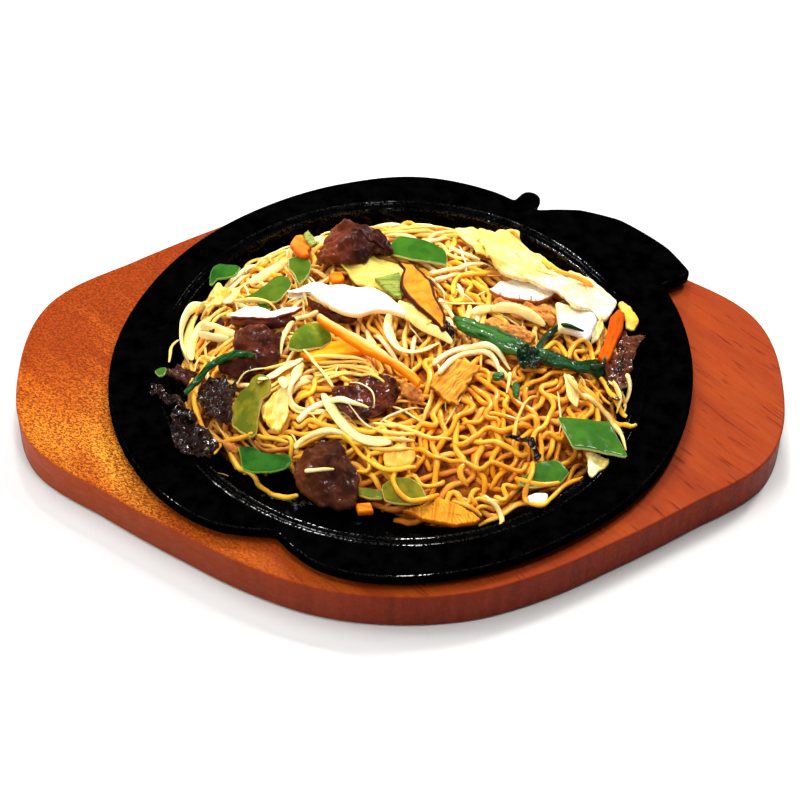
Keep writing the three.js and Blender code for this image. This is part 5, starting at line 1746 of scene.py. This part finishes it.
draw = np.random.default_rng(7)
goldenZone = zoneShare(zoneSet["goldenAt"], ground.x, ground.y)
sproutShare = (0.1 + zoneShare(zoneSet["sproutAt"], ground.x, ground.y)) * np.clip(1.1 - goldenZone, 0.05, 1)
everywhere = np.ones(ground.shape)
notGolden = np.clip(1.05 - goldenZone, 0.02, 1)
under = layStrands(draw, "under", 330, -1.8, everywhere, 44)
golden = layStrands(draw, "golden", 150, 0.0, 0.02 + goldenZone, 30)
yellow = layStrands(draw, "yellow", 240, 0.0, notGolden, 44)
sprouts = layStrands(draw, "sprout", 70, 0.7, sproutShare, 20)
shreds = layStrands(draw, "shred", 60, 0.7, sproutShare, 16)
golden += layStrands(draw, "golden", 130, 1.4, 0.005 + goldenZone ** 2, 24)
yellow += layStrands(draw, "yellow", 120, 1.3, notGolden, 24)
sprouts += layStrands(draw, "sprout", 60, 1.9, sproutShare, 16)
threads = layStrands(draw, "thread", 90, 1.8, notGolden, 14)
ground.height = np.maximum(ground.height, covers.height)
surface = blur(ground.height, 2)
byHand = {kind: layByHand(kind, surface) for kind in handKinds}
deepLevel = blur(ground.height, 6)
print("strands laid:", [len(some) for some in (under, golden, yellow, sprouts, shreds, threads)])

# the sauce colour serves sauce stains and the first step of the painted shade with depth; the shadow colour
# is the deepest painted shade
sauceAndDepthShade, shadow = tint(232, 152, 46), tint(160, 84, 26)
goldenNoodle = strandMaterial("noodleGolden", tint(248, 194, 62), tint(236, 152, 28), tint(220, 128, 24),
                              tint(160, 78, 18), 0.3)
yellowNoodle = strandMaterial("noodleYellow", tint(252, 216, 124), tint(240, 178, 66), sauceAndDepthShade, shadow, 0.35)
underNoodle = strandMaterial("noodleUnder", tint(244, 194, 90), tint(228, 146, 42), tint(208, 116, 28),
                             tint(150, 70, 20), 0.3)
sproutFlesh = strandMaterial("sproutFlesh", tint(253, 234, 184), tint(248, 212, 134), tint(236, 176, 80),
                             shadow, 0.5, tint(232, 172, 84))
shredFlesh = strandMaterial("shredFlesh", tint(255, 238, 176), tint(250, 214, 116), tint(234, 168, 66),
                            shadow, 0.45)
newStrands("noodlesUnder", under, "under", underNoodle, "noodle", draw, 2)
newStrands("noodlesGolden", golden + byHand["golden"], "golden", goldenNoodle, "noodle", draw)
newStrands("noodlesYellow", yellow + byHand["yellow"], "yellow", yellowNoodle, "noodle", draw)
newStrands("beanSprouts", sprouts + byHand["sprout"], "sprout", sproutFlesh, "noodle", draw)
newStrands("cabbageShreds", shreds + byHand["ribbon"], "shred", shredFlesh, "noodle", draw)
newStrands("sproutThreads", threads + byHand["thread"], "thread", sproutFlesh, "noodle", draw)
newStrands("leafStrips", byHand["darkGreen"], "sprout", toppingMaterials["stalk_leaf"], "green", draw)
newStrands("meatStrip", byHand["brownStrip"], "yellow", toppingMaterials["meat"], "meat", draw)


# Core

# Sauce brown, made darker as painted shade of the strands deep in the heap, where the core shows between them
def coreMaterial():
    def build(tree):
        place = objectPlace(tree)
        colour = patchColour(tree, place, 90, tint(196, 118, 36), tint(128, 62, 18))
        height = noise(tree, place, 260, 4.0, 0.6)
        return {"Base Color": colour, "Roughness": 0.4, "Height": (height, 0.8, 0.0015)}

    return newMaterial("sauceAndShadeCore", build, specular=0.12)


coreSet = {
    "sides": 220,
    "rings": 40,
    "foot": 0.9,  # share of the heap's reach at which it stands on the plate
    "shares": (0.97, 0.04),  # of the reach, of its widest and its innermost ring
    "lumps": 1.1,
    "overFloor": 0.05,
}


# Rings from the heap's edge on the plate up to its middle, at the core's depth under the heap's top.
def makeCore():
    sets = coreSet
    low = plateSet["floorHeight"] + sets["overFloor"]
    turn = np.linspace(0, 2 * np.pi, sets["sides"], endpoint=False)
    reach = looseReach(np.degrees(turn))[:, None]
    unit = np.stack([np.cos(turn), np.sin(turn)], -1)
    lumps = waves(5, 9)
    rings = [ringAt(plateCentre + sets["foot"] * reach * unit, low)]
    for share in np.linspace(*sets["shares"], sets["rings"]):
        level = plateCentre + share * reach * unit
        z = heapTop(*level.T) - heapSet["coreDepth"] + sets["lumps"] * lumps(*level.T)
        rings.append(ringAt(level, np.maximum(z, low + 0.4)))
    middle = (*plateCentre, float(heapTop(*plateCentre)) - heapSet["coreDepth"])
    shape = ringStack((*plateCentre, low), rings, middle)
    newPiece("heapCore", *shape, {}, coreMaterial(), "noodle", "noodle_heap")


makeCore()
print("core made")


# Floor, light and finish

floorSet = {"half": 4.0, "height": -0.0004, "light": (0.64, 0.64, 0.64, 1), "dark": (0.62, 0.62, 0.62, 1)}


def floorMaterial():
    def build(tree):
        cloud = noise(tree, objectPlace(tree), 3)
        return {"Base Color": mixColours(tree, cloud, floorSet["light"], floorSet["dark"])}

    return newMaterial("paleFloor", build, rough=0.8, specular=0.1)


def makeFloor():
    half, z = floorSet["half"], floorSet["height"]
    mesh = bpy.data.meshes.new("floor")
    mesh.from_pydata([(-half, -half, z), (half, -half, z), (half, half, z), (-half, half, z)], [],
                     [(0, 1, 2, 3)])
    floor = bpy.data.objects.new("floor", mesh)
    bpy.context.scene.collection.objects.link(floor)
    mesh.materials.append(floorMaterial())


lightSet = {
    # place, size and power in watts of each softbox, all aimed at the heap, and whether gloss shows it; the
    # colour is white where none is given
    "back": dict(place=(0.75, 0.95, 1.45), size=0.35, power=24, colour=(1.0, 0.98, 0.95), gloss=True),
    "front": dict(place=(-0.85, -0.65, 1.0), size=0.5, power=8, colour=(1.0, 0.97, 0.93), gloss=False),
    "above": dict(place=(-0.35, 0.25, 1.6), size=1.2, power=20, gloss=False),
    "top": dict(place=(0.12, -0.3, 1.5), size=0.2, power=6, gloss=True),
    "rear": dict(place=(0.1, 1.6, 0.7), size=0.25, power=26, gloss=False),
    "glint": dict(place=(-0.15, 1.15, 1.55), size=0.14, power=8, gloss=True),
    "left": dict(place=(-0.95, 0.12, 1.25), size=0.14, power=2, gloss=True),
}
worldPower = 0.14
aimHeight = 0.03


def makeLights():
    for name, sets in lightSet.items():
        data = bpy.data.lights.new(name, "AREA")
        data.shape = "DISK"
        data.size = sets["size"]
        data.energy = sets["power"]
        data.color = sets.get("colour", (1.0, 1.0, 1.0))
        lamp = bpy.data.objects.new(name, data)
        x, y, z = sets["place"]
        turn = Matrix.Rotation(math.atan2(y, x) + math.pi / 2, 4, "Z")
        tilt = Matrix.Rotation(math.atan2(math.hypot(x, y), z - aimHeight), 4, "X")
        lamp.matrix_world = Matrix.Translation((x, y, z)) @ (turn @ tilt)
        lamp.visible_glossy = sets["gloss"]
        bpy.context.scene.collection.objects.link(lamp)
    world = bpy.data.worlds.new("studio")
    world.use_nodes = True
    background = world.node_tree.nodes["Background"].inputs
    background["Color"].default_value = (1, 1, 1, 1)
    background["Strength"].default_value = worldPower
    bpy.context.scene.world = world
    bpy.context.scene.view_settings.view_transform = "Standard"


makeFloor()
makeLights()
print("floor and lights made")
